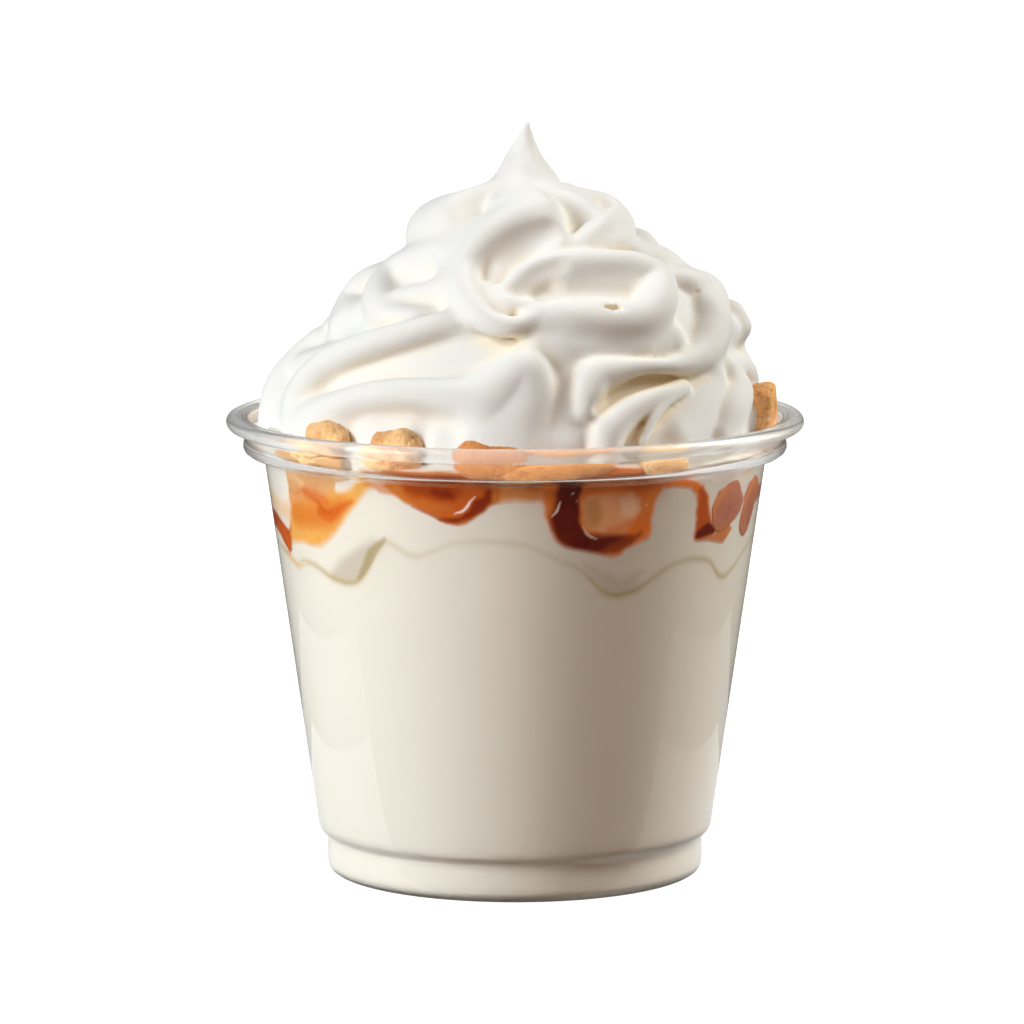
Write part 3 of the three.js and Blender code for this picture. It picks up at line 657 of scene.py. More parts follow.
# shapes of sauce as they lie on the wall, one over the other: colour, cover, softness of the edge in mm, points;
# two numbers a point (azimuth, height) outline an area, three (azimuth, height, half width) make a stroke;
# the shine strokes are glints painted as colour, so they stay put when the light moves
sauceShapes = {
    "leftBand": [
        ("peach", 0.9, 1.5, [(-92, 67), (-80, 66.5), (-74, 66.2), (-69, 65.5), (-66, 66), (-65, 63.5), (-66.5, 62),
                             (-72, 62.4), (-80, 63), (-92, 63.4)]),
        ("straw", 0.9, 0.6, [(-70.5, 56.2, 0.5), (-68, 55.4, 0.55), (-65, 54.9, 0.5), (-62, 55.2, 0.35),
                             (-60, 55.8, 0.15)]),
        ("rust", 1.0, 0.5, [(-114, 61.2), (-104, 62.2), (-90, 63), (-80, 63), (-75, 62.4), (-71, 61.5), (-68, 60.9),
                            (-66, 61.9), (-64, 63.6), (-62.6, 63.8),
                            (-63, 62.4), (-65, 60.4), (-66.8, 58.3), (-68, 56.8), (-69.6, 56.2), (-72, 57.2),
                            (-76, 58.9), (-80, 59.6), (-90, 59.6), (-104, 60.6)]),
        ("brick", 0.8, 0.8, [(-100, 61.6, 0.7), (-90, 62, 0.9), (-82, 61.9, 0.9), (-77, 61.7, 0.7), (-73, 61.2, 0.3)]),
        ("amber", 0.8, 0.5, [(-72, 59.8, 0.3), (-69.6, 58.6, 0.7), (-68, 57.4, 0.4)]),
    ],
    "patch": [
        ("sand", 0.95, 0.5, [(-65, 75.6), (-64.7, 71), (-64.6, 66), (-58, 65.4), (-50, 67), (-45, 68.4),
                             (-44.4, 70.6), (-40.4, 71.2), (-39.6, 72.6), (-40.4, 75.6)]),
        ("straw", 1.0, 1.1, [(-66, 62.5), (-67, 60), (-66.6, 58.5), (-62, 58.6), (-57, 58.6), (-53, 58.8),
                             (-50, 59.6), (-47, 61.2), (-44, 63.1), (-40.5, 65.7),
                             (-36.5, 68.6), (-34, 70), (-34, 73), (-38, 71.5), (-40, 70.2), (-43, 69.4),
                             (-46, 69.2), (-50, 67.6), (-60, 66.4), (-64.4, 66.4)]),
        ("gold", 0.9, 1.4, [(-64, 66.2), (-64.8, 63.8), (-63.4, 61.8), (-58, 62), (-54, 62.2), (-50, 62.2),
                            (-46.5, 63.8), (-42.5, 66.1), (-40, 67.6),
                             (-42, 68), (-46, 67.6), (-50, 66.8), (-57, 66)]),
        ("peach", 0.55, 0.7, [(-64.4, 70.6, 0.5), (-60, 70.2, 0.8), (-57, 69.2, 0.5)]),
        ("gold", 0.5, 0.6, [(-63.6, 67.6, 0.2), (-60, 67.4, 0.5), (-56.4, 68.4, 0.4)]),
        ("amber", 0.75, 0.9, [(-56, 67.8, 1.0), (-52, 67.6, 1.2), (-48.6, 67, 0.8)]),
        ("amber", 1.0, 0.7, [(-51, 65.1, 0.9), (-48, 64.7, 1.1), (-45, 65.6, 0.9), (-42.5, 66.7, 0.5),
                             (-40.5, 67.7, 0.2)]),
        ("rust", 0.7, 0.4, [(-54, 67.4, 0.1), (-51.5, 66.6, 0.35), (-49.6, 65.6, 0.4), (-47.4, 65.2, 0.25)]),
        ("gold", 0.85, 0.7, [(-37, 73.4), (-35.4, 70.8), (-32, 69.5), (-29, 69.3), (-26.6, 68.9), (-25, 73.4)]),
    ],
    "drip": [
        ("tan", 1.0, 0.5, [(-31, 74), (-30.5, 71), (-28.6, 69.7), (-26, 68.2), (-23, 67.2), (-20, 66.4),
                           (-18, 65.6), (-16, 64.9), (-13, 64.6),
                           (-11, 65), (-9, 66), (-7, 67.1), (-5.2, 68.2), (-3.5, 69.2), (-3, 72), (-4, 74)]),
        ("rust", 0.9, 0.8, [(-27, 72.6), (-25.4, 69.6), (-22, 67.9), (-18, 66.7), (-14, 65.6), (-10, 66.4),
                            (-6.4, 68.6), (-5.6, 72), (-14, 73.4)]),
        ("brick", 0.9, 0.8, [(-26, 71.8), (-22, 71.6), (-18, 71.8), (-13, 71.8), (-11.5, 70.5), (-13, 69.3),
                             (-17, 69), (-21, 69.4), (-25, 70.2)]),
        ("tan", 0.7, 0.8, [(-21.5, 68.4, 0.5), (-18, 67.8, 0.6), (-14.6, 67.6, 0.4)]),
        ("treacle", 0.95, 0.7, [(-18.4, 70.5, 0.5), (-15.6, 70.2, 0.9), (-14, 69.5, 0.4)]),
        ("treacle", 0.95, 0.5, [(-17, 65.7, 0.25), (-13.5, 65.8, 0.6), (-10.5, 67, 1.0), (-8, 68.2, 1.1),
                                (-6.4, 69.2, 0.8), (-5.9, 70.8, 0.5)]),
        ("brick", 0.8, 0.35, [(-24, 67.6, 0.15), (-20, 66.6, 0.25), (-17, 65.5, 0.25)]),
        ("amber", 0.8, 0.4, [(-15.4, 66.6, 0.2), (-12.6, 66.6, 0.3), (-10.8, 67.6, 0.3), (-9.4, 68.9, 0.2)]),
        ("shine", 0.85, 0.16, [(-13.8, 67, 0.06), (-12, 67.3, 0.2), (-10.4, 68.3, 0.2), (-9.1, 69.7, 0.06)]),
    ],
    "veil": [
        ("veil", 1.0, 1.1, [(-6, 74), (-6, 69.2), (-4, 68.6), (0, 68.8), (4, 68.6), (6.5, 69), (7, 74)]),
        ("tan", 0.8, 0.6, [(2, 74), (2.5, 71.2), (6, 70.8), (9, 71), (9, 74)]),
        ("amber", 0.9, 0.5, [(-12, 75.8), (-12, 72.2), (2, 72.4), (10, 72.2), (21, 72), (22, 75.8)]),
    ],
    "loop": [
        ("bright", 1.0, 1.0, [(5.5, 74), (6, 69.5), (6.4, 66.8), (7.2, 65), (8.4, 63), (10, 61.8), (13, 60.9),
                              (17, 60.4), (20, 59.6), (23, 58.9),
                              (25.2, 59.2), (27, 60.3), (30, 61.1), (32.6, 61.7), (33.5, 63.2), (33.2, 66),
                              (34, 68.4), (35.5, 70), (38, 70.6), (41, 70), (43, 72), (38, 74), (20, 75)]),
        ("tan", 0.6, 0.6, [(5.8, 71), (6.6, 67), (7.6, 65), (9, 65.4), (9.2, 68), (9, 71.4)]),
        ("tan", 0.7, 0.9, [(10, 73), (10, 70.2), (16, 70.4), (22, 70.6), (28, 70), (33, 71), (33, 73)]),
        ("blush", 1.0, 0.7, [(15.2, 68.5), (15.6, 65.8), (17, 64), (20, 63.1), (23, 62.9), (26, 63.3), (28, 64.8),
                             (30, 67), (29.6, 68.8), (27, 69.8), (21, 70), (16.8, 69.8)]),
        ("sand", 0.8, 1.0, [(15.4, 69), (15.8, 65.6), (17.6, 64), (19.6, 64.4), (20, 67), (19, 69.6)]),
        ("milk", 1.0, 0.9, [(24.6, 68.8), (24.8, 66.4), (27.4, 65.7), (29, 67), (28.8, 68.4), (27, 69.3)]),
        ("bright", 0.6, 0.8, [(22, 63.6, 0.6), (25, 64, 0.7), (27.4, 65, 0.5)]),
        ("treacle", 0.9, 0.7, [(12, 72, 1.9), (11.4, 68, 2.1), (10.9, 65, 2.3), (12.5, 62.9, 2.1), (16, 61.9, 1.6),
                               (20, 61.5, 1.5), (24, 61.6, 1.4), (27.4, 62.2, 0.6)]),
        ("black", 1.0, 0.4, [(9.6, 72.4), (9.6, 69.5), (8.8, 66.8), (8.8, 64.8), (9.6, 62.9), (11.5, 61.8),
                             (14.5, 61), (18, 60.6), (21.5, 60.4), (24.2, 61.2),
                             (25.2, 62.2), (22.5, 62.6), (19.5, 62.4), (17, 62.9), (15.4, 64.3), (14.6, 66.4),
                             (14.4, 69), (14.8, 71), (15.5, 72.4)]),
        ("brick", 0.9, 0.7, [(21, 60.2, 0.5), (24.4, 60.8, 1.0), (27.5, 61.8, 0.7), (30, 63, 0.3)]),
        ("glow", 0.7, 0.8, [(30.6, 65.6, 0.5), (31.4, 68, 0.8), (33.4, 70.2, 0.7)]),
        ("shine", 0.85, 0.16, [(8.4, 66.3, 0.06), (9.2, 67.3, 0.2), (10.1, 68.9, 0.1)]),
        ("shine", 0.8, 0.14, [(15.4, 64.8, 0.05), (16.3, 63.6, 0.14), (17.6, 62.8, 0.14), (19, 62.3, 0.05)]),
        ("shine", 0.7, 0.16, [(12.9, 70.1, 0.18)]),
        ("shine", 0.5, 0.14, [(13.9, 68.8, 0.1)]),
        ("shine", 0.8, 0.16, [(31.1, 67.5, 0.16)]),
    ],
    "arch": [
        ("ginger", 1.0, 0.7, [(35, 73.4), (36, 70.2), (40, 69.9), (43.5, 69.6), (45.3, 68.4), (46, 66.5),
                              (46.2, 64), (46.4, 62), (46.4, 60.4), (50, 60.2),
                             (53, 60.6), (55, 62), (53.2, 63), (51.8, 64.2), (51, 66), (50, 68), (48, 69.8),
                             (45.5, 71), (42, 71.8), (39, 73.4)]),
        ("rust", 1.0, 0.8, [(46.4, 69.2), (46.7, 65), (46.6, 61), (50, 61), (53, 62.6), (51.4, 64.2), (50.4, 66.4),
                            (49, 68.6), (47.6, 69.8)]),
        ("black", 1.0, 0.35, [(46.8, 60.9), (47.4, 62), (49, 62.8), (51, 63.4), (53.4, 62.6), (54.8, 62),
                              (53.4, 61.2), (50.4, 60.6), (48, 60.5)]),
        ("tan", 0.95, 0.6, [(47, 60.2), (52, 59.9), (56, 59.3), (58.5, 59.1), (60.5, 60), (62.5, 61.4), (60, 62.4),
                            (55, 62.2), (53.5, 61.2)]),
        ("shine", 0.6, 0.2, [(52.6, 66, 0.12), (52, 67.2, 0.16), (52.4, 68.2, 0.08)]),
    ],
    "smudge": [
        ("rose", 0.95, 0.5, [(52, 66.2), (53.2, 68.3), (55, 69), (58, 68.7), (62, 67.8), (65, 67.4), (66.5, 66),
                             (66, 64.2), (63, 62.8), (59, 62.2), (56, 62.4), (53.5, 63.6), (52, 65)]),
        ("rust", 0.9, 0.5, [(66.5, 66.5), (68.5, 68.6), (71, 69.2), (74, 68.8), (78, 67.4), (82, 67.4), (88, 67),
                            (94, 65.6), (88, 65), (80, 64.4),
                            (76, 64.4), (73, 62.4), (71, 60.4), (69.5, 59), (68, 59.6), (68.2, 61.8), (66.8, 64)]),
        ("cloud", 0.8, 1.0, [(46, 72.6), (49, 70.4), (52, 69), (55, 69.6), (60, 68.8), (66, 68), (70, 70), (68, 73),
                             (56, 73.6)]),
        ("sand", 0.6, 1.2, [(60, 72.8), (63, 70.8), (66, 70.2), (80, 71), (96, 71.6), (110, 72.4)]),
    ],
}
# the whole way round: which shapes, how far they are turned, 1 or -1 for mirrored about their own middle, height shift
sauceLayout = [
    ("leftBand", 0, 1, 0), ("patch", 0, 1, 0), ("veil", 0, 1, 0), ("drip", 0, 1, 0), ("loop", 0, 1, 0),
    ("smudge", 0, 1, 0), ("arch", 0, 1, 0),
    ("patch", 165, -1, 0.4), ("loop", 118, -1, -0.4), ("veil", 150, 1, 0), ("drip", 189, 1, 0.3),
    ("arch", 148, -1, 0.2), ("veil", 196, -1, 0),
    ("loop", 206, 1, 0.3), ("drip", 268, -1, -0.4),
]


def makeSauceMaterial():
    look = sauceLook
    material, tree, shader = newMaterial("caramelSauce", Roughness=look["roughness"], Specular_IOR_Level=0.0)
    milky = useGroup(tree, mottleGroup, Color=shakeLook["color"], Drift_Color=shakeLook["drift"], Drift=0.5,
                     Patch_Scale=70.0, Tooth_Scale=1300.0, Tooth=0.5)
    flow = noiseField(tree, 150.0, 4.0, 0.55)
    streak = noiseField(tree, 520.0, 3.0, 0.6)
    painted = readPaint(tree, "sauceColor", "Color")

    def above(a, b, amount):
        return calc(tree, "MULTIPLY", calc(tree, "MAXIMUM", calc(tree, "SUBTRACT", a, b), 0.0), amount)

    deep = calc(tree, "ADD", above(flow, 0.5, 1.1), above(streak, 0.55, 0.7))
    thin = above(0.5, flow, 0.7)
    color = blendColor(tree, deep, painted, sauceColors["rust"])
    color = blendColor(tree, thin, color, sauceColors["gold"])
    darker = calc(tree, "MULTIPLY", readPaint(tree, "cover"), readPaint(tree, "wander"))
    color = blendColor(tree, darker, painted, color)
    color = blendColor(tree, readPaint(tree, "cover"), milky.outputs["Color"], color)
    join(tree, color, shader.inputs["Base Color"])
    bumpFrom(tree, shader, streak, 0.00004)
    return material


def makeSauce():
    look = sauceLook
    around = look["around"]
    az = np.arange(around) * 360 / around
    heights = np.concatenate([[53.4], np.arange(53.8, 75.3, look["rise"]), [75.4]])
    azGrid, zGrid = np.meshgrid(az, heights)
    color, cover = spreadShapes(azGrid, zGrid, shakeLook["color"][:3], sauceLayout, sauceShapes, sauceColors,
        look["waver"])
    stand = -look["ground"] + (look["ground"] + look["lift"]) * smoothStep(0.04, 0.96, cover)
    spill = look["spill"] * smoothStep(72.3, 73.1, zGrid) * smoothStep(0.15, 0.8, cover) * smoothStep(75.4, 74.6, zGrid)
    radius = fillRadius(zGrid) + stand + spill
    radius[0] = look["bottomRadius"]
    radius[-1] = look["topRadius"]
    innerRadius, innerZ = np.array(look["inside"]).T
    radius = np.vstack([radius, np.tile(innerRadius[:, None], around)])
    height = np.vstack([zGrid, np.tile(innerZ[:, None], around)])
    verts, quads = ringGrid(radius, height, around)
    last = (len(radius) - 1) * around
    j = np.arange(around)
    k = (j + 1) % around
    quads = np.vstack([quads, np.stack([last + j, last + k, k, j], -1)])  # closes the ring
    piece = addPiece("caramelRibbons", verts, quads, makeSauceMaterial(), ["caramel_sauce"])
    hidden = len(innerZ) * around
    paint(piece, "cover", np.concatenate([cover.ravel(), np.zeros(hidden)]))
    light = color @ np.array([0.3, 0.6, 0.1])
    wander = 0.75 * smoothStep(0.006, 0.06, light) * smoothStep(0.62, 0.35, light)
    paint(piece, "wander", np.concatenate([wander.ravel(), np.zeros(hidden)]))
    paintColor(piece, "sauceColor", np.vstack([color.reshape(-1, 3), np.tile(look["hiddenColor"], (hidden, 1))]))
    return piece


makeSauce()
report("caramel")

toffeeLook = {
    "detail": 5,
    "squareness": 2.5,
    "lump": 0.26,
    "lumpScale": 0.2,
    "grain": 0.045,
    "grainScale": 1.5,
    "limits": (40.6, 44.9),  # farthest out, below the ledge and on it
    "rimColor": (0.60, 0.22, 0.06),
    "pressedCalm": 0.35,
}
# node number, then how far the piece is turned, raised and moved out from its node; width, height, depth, lean, colour
toffeePieces = [
    (1, 9.4, 2.5, 2.7, 16.6, 5.4, 6.0, 2, "golden"), (2, -3.0, 0.1, 2.0, 11.4, 7.2, 6.0, 0, "golden"),
    (3, -0.8, 0.3, 2.4, 12.6, 9.0, 6.0, 3, "golden"), (4, -1.6, -0.3, 2.4, 13.0, 8.0, 5.6, 6, "brown"),
    (5, -6.0, 0.1, 3.3, 21.0, 4.4, 5.4, -2, "amber"), (6, -1.8, 0.3, 3.4, 11.0, 4.6, 5.4, -4, "golden"),
    (7, 1.4, 0.3, 2.3, 11.0, 8.4, 5.4, -26, "rose"), (8, -1.3, -0.3, 2.2, 7.2, 12.0, 5.0, 26, "rose"),
    (9, -3.4, -0.6, 1.0, 8.4, 10.4, 7.6, 10, "orange"), (10, 0.3, 0.7, 3.3, 13.4, 8.4, 5.6, 5, "golden"),
    (11, 0.3, 0.7, 3.4, 10.6, 8.6, 5.6, -9, "brown"), (12, 0.3, 1.0, 3.4, 13.8, 7.8, 5.6, 7, "golden"),
    (13, 0.4, 0.1, 2.7, 11.4, 8.6, 5.6, -6, "golden"), (14, 0.2, 1.2, 3.4, 12.8, 8.0, 5.6, 9, "brown"),
    (15, -7.0, -1.0, 2.2, 11.0, 8.0, 5.6, -5, "golden"),
]
crumbLook = {
    "seed": 4,
    "count": 110,
    "detail": 3,
    "size": (0.4, 1.0),
    "reach": (43.0, 44.3),
    "ledge": 72.6,
    "bare": [(-66, 70)],  # stretches of the ledge with none
}
# azimuth, distance from the middle, height, size of the ones put down one by one
crumbSpots = [(60, 41.8, 79.0, 2.4), (104, 42.6, 77.0, 2.2), (-112, 42.8, 77.2, 2.0)]
toffeeCalm = {4: 0.3, 5: 0.7, 6: 0.7}  # smoother ones
throughWall = (7, 8)  # these press against the wall below the ledge
toffeeColors = {
    "golden": ((0.88, 0.43, 0.15, 1), (1.0, 0.68, 0.35, 1), (0.60, 0.20, 0.045)),
    "orange": ((0.90, 0.34, 0.08, 1), (1.0, 0.60, 0.26, 1), (0.60, 0.15, 0.025)),
    "amber": ((0.62, 0.20, 0.045, 1), (0.86, 0.42, 0.14, 1), (0.33, 0.065, 0.012)),
    "brown": ((0.54, 0.15, 0.032, 1), (0.74, 0.33, 0.11, 1), (0.28, 0.05, 0.01)),
    "rose": ((0.33, 0.095, 0.055, 1), (0.47, 0.19, 0.12, 1), (0.28, 0.065, 0.025)),
}


def makeToffeeMaterial(kind):
    base, light, dark = toffeeColors[kind]
    material, tree, shader = newMaterial(kind + "Toffee", Roughness=0.42)
    mottle = useGroup(tree, mottleGroup, Color=base, Drift_Color=light, Drift=1.1, Patch_Scale=240.0,
                      Tooth_Scale=2200.0, Tooth=0.6)
    grain = useGroup(tree, grainGroup, Scale=1900.0, Fine_Scale=4600.0)
    color = blendColor(tree, calc(tree, "MULTIPLY", grain.outputs["Mask"], 0.6), mottle.outputs["Color"], light[:3])
    # darker colour where the surface sinks in between grains and lumps
    color = blendColor(tree, readPaint(tree, "sunkDark"), color, dark)
    color = blendColor(tree, readPaint(tree, "rim"), color, toffeeLook["rimColor"])
    join(tree, color, shader.inputs["Base Color"])
    height = calc(tree, "ADD", grain.outputs["Height"], calc(tree, "MULTIPLY", mottle.outputs["Height"], 0.6))
    rough = calc(tree, "SUBTRACT", 1.0, calc(tree, "MULTIPLY", readPaint(tree, "pressed"), 0.8))
    height = calc(tree, "MULTIPLY", height, rough)
    bumpFrom(tree, shader, height, 0.00022, 0.8)
    return material


toffeeMaterials = {kind: makeToffeeMaterial(kind) for kind in toffeeColors}


def ballPoints(detail):
    work = bmesh.new()
    bmesh.ops.create_icosphere(work, subdivisions=detail, radius=1.0)
    points = np.array([v.co[:] for v in work.verts])
    faces = np.array([[v.index for v in f.verts] for f in work.faces])
    work.free()
    return points, faces


ball, ballFaces = ballPoints(toffeeLook["detail"])


def makeToffee(number, turned, raised, outward, width, tall, deep, lean, kind):
    look = toffeeLook
    low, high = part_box(f"toffee_piece_{number:02d}")
    centre = (low + high) / 2 / mm
    azimuth = math.degrees(math.atan2(centre.x, -centre.y)) + turned
    radius = math.hypot(centre.x, centre.y) + outward
    z = centre.z + raised
    power = look["squareness"]
    box = (np.abs(ball) ** power).sum(1) ** (-1 / power)
    size = np.array([width / 2, deep / 2, tall / 2])
    local = ball * box[:, None] * size
    seed = Vector((number * 7.3, number * 3.1, 0))
    calm = look["pressedCalm"] if number in throughWall else toffeeCalm.get(number, 1.0)
    scale = look["lumpScale"]
    lump = np.array([noise.noise(Vector(p) * scale + seed) + 0.35 * noise.noise(Vector(p) * scale * 2.3 + seed)
                     for p in local])
    grain = np.array([noise.voronoi(Vector(p) * look["grainScale"] + seed)[0][0] for p in local])
    shrink = 1 - calm * (look["lump"] * (0.55 - lump) + look["grain"] * grain)
    local = local * np.clip(shrink, 0.55, 1.04)[:, None]
    turn = Matrix.Rotation(math.radians(azimuth), 3, "Z") @ Matrix.Rotation(math.radians(lean), 3, "Y")
    a = math.radians(azimuth)
    middle = np.array([radius * math.sin(a), -radius * math.cos(a), z])
    verts = local @ np.array(turn).T + middle
    # where it meets the cup it lies flat against the wall, and below the ledge the others stay behind the sauce
    rho = np.hypot(verts[:, 0], verts[:, 1])
    z = verts[:, 2]
    inner, outer = look["limits"]
    if number in throughWall:
        limit = np.where(z < crumbLook["ledge"], np.minimum(wallRadius(z) + 0.5, outer), outer)
    else:
        limit = inner + (outer - inner) * smoothStep(71.9, 72.7, z)
    over = rho - limit
    soft = np.where(over > -0.6, limit - 0.6 * np.exp(-np.maximum(over + 0.6, 0) / 0.6), rho)
    verts[:, :2] *= (soft / rho)[:, None]
    pressed = smoothStep(-0.5, 0.3, over)
    piece = addPiece(f"toffeePiece{number:02d}", verts, ballFaces, toffeeMaterials[kind],
                     [f"toffee_piece_{number:02d}"])
    # darker where the lump and grain noise push the surface inward
    sunkDark = smoothStep(0.55, 0.95, grain) * 0.5 + smoothStep(0.1, -0.5, lump) * 0.5
    rim = pressed * smoothStep(1.3, 0.2, over) * smoothStep(4, -3, local[:, 0])
    paint(piece, "sunkDark", np.clip(sunkDark, 0, 1) * calm)
    paint(piece, "pressed", pressed)
    paint(piece, "rim", rim if number in throughWall else 0 * rim)
    return piece


def makeCrumbs():
    # bits broken off the pieces, lying on the ledge between them
    look = crumbLook
    chance = np.random.default_rng(look["seed"])
    small, smallFaces = ballPoints(look["detail"])
    verts, faces, sunkDarks = [], [], []
    power = 3  # squareness
    spots = list(crumbSpots)
    for _ in range(look["count"]):
        azimuth = chance.uniform(-180, 180)
        if any(low < azimuth < high for low, high in look["bare"]):
            continue
        size = chance.uniform(*look["size"])
        spots.append((azimuth, chance.uniform(*look["reach"]), look["ledge"] + size * chance.uniform(0.2, 0.5), size))
    for i, (azimuth, radius, z, size) in enumerate(spots):
        seed = Vector((i * 3.7, i * 1.9, 5))
        lump = np.array([noise.noise(Vector(p) * 1.6 + seed) for p in small])
        stretch = chance.uniform(0.7, 1.35, 3)
        square = (np.abs(small) ** power).sum(1) ** (-1 / power)
        local = small * (square * (1 + 0.55 * lump))[:, None] * stretch * size / 2
        a = math.radians(azimuth)
        turn = np.array(Matrix.Rotation(a + chance.uniform(-0.5, 0.5), 3, "Z"))
        faces.append(smallFaces + sum(len(v) for v in verts))
        verts.append(local @ turn.T + [radius * math.sin(a), -radius * math.cos(a), z])
        # darker where the lump noise pushes the surface inward
        sunkDarks.append(np.clip(0.3 - lump, 0, 1))
    piece = addPiece("toffeeCrumbs", np.vstack(verts), np.vstack(faces), toffeeMaterials["orange"])
    paint(piece, "sunkDark", np.concatenate(sunkDarks))
    for name in ("pressed", "rim"):
        paint(piece, name, np.zeros(sum(len(v) for v in verts)))
    return piece


for row in toffeePieces:
    makeToffee(*row)
makeCrumbs()
report("toffee")

swirlLook = {
    "cell": 0.6,  # size of the grid that the folds are gathered on, mm
    "steps": 12,  # straight steps between two points of a fold
    "coreDepth": 1.8,
    "viewTilt": 8.18,  # the folds are drawn on a front view that looks down this many degrees
    "viewDistance": 1061,
    "viewMiddle": 62.7,
    "bottom": 71.5,
}
envelope = [(70, 43), (79.8, 42.6), (83.2, 41), (86.6, 39), (90, 36.8), (93.5, 34.6), (96.9, 32.4), (100.3, 29.6),
            (103.7, 25.2), (107.2, 21.8), (111.4, 18.6), (114, 16.2), (115.7, 13.4), (117.4, 8), (119, 5.6),
            (121, 4.2), (124, 2.2), (127.4, 0.4), (129, -1.5), (132, -5)]
lean = [(70, 0), (86, 0.8), (95, 3.2), (100, 3.8), (105, 3.8), (108, 2.2), (112, 0.8), (116, 1.4), (128, 2)]
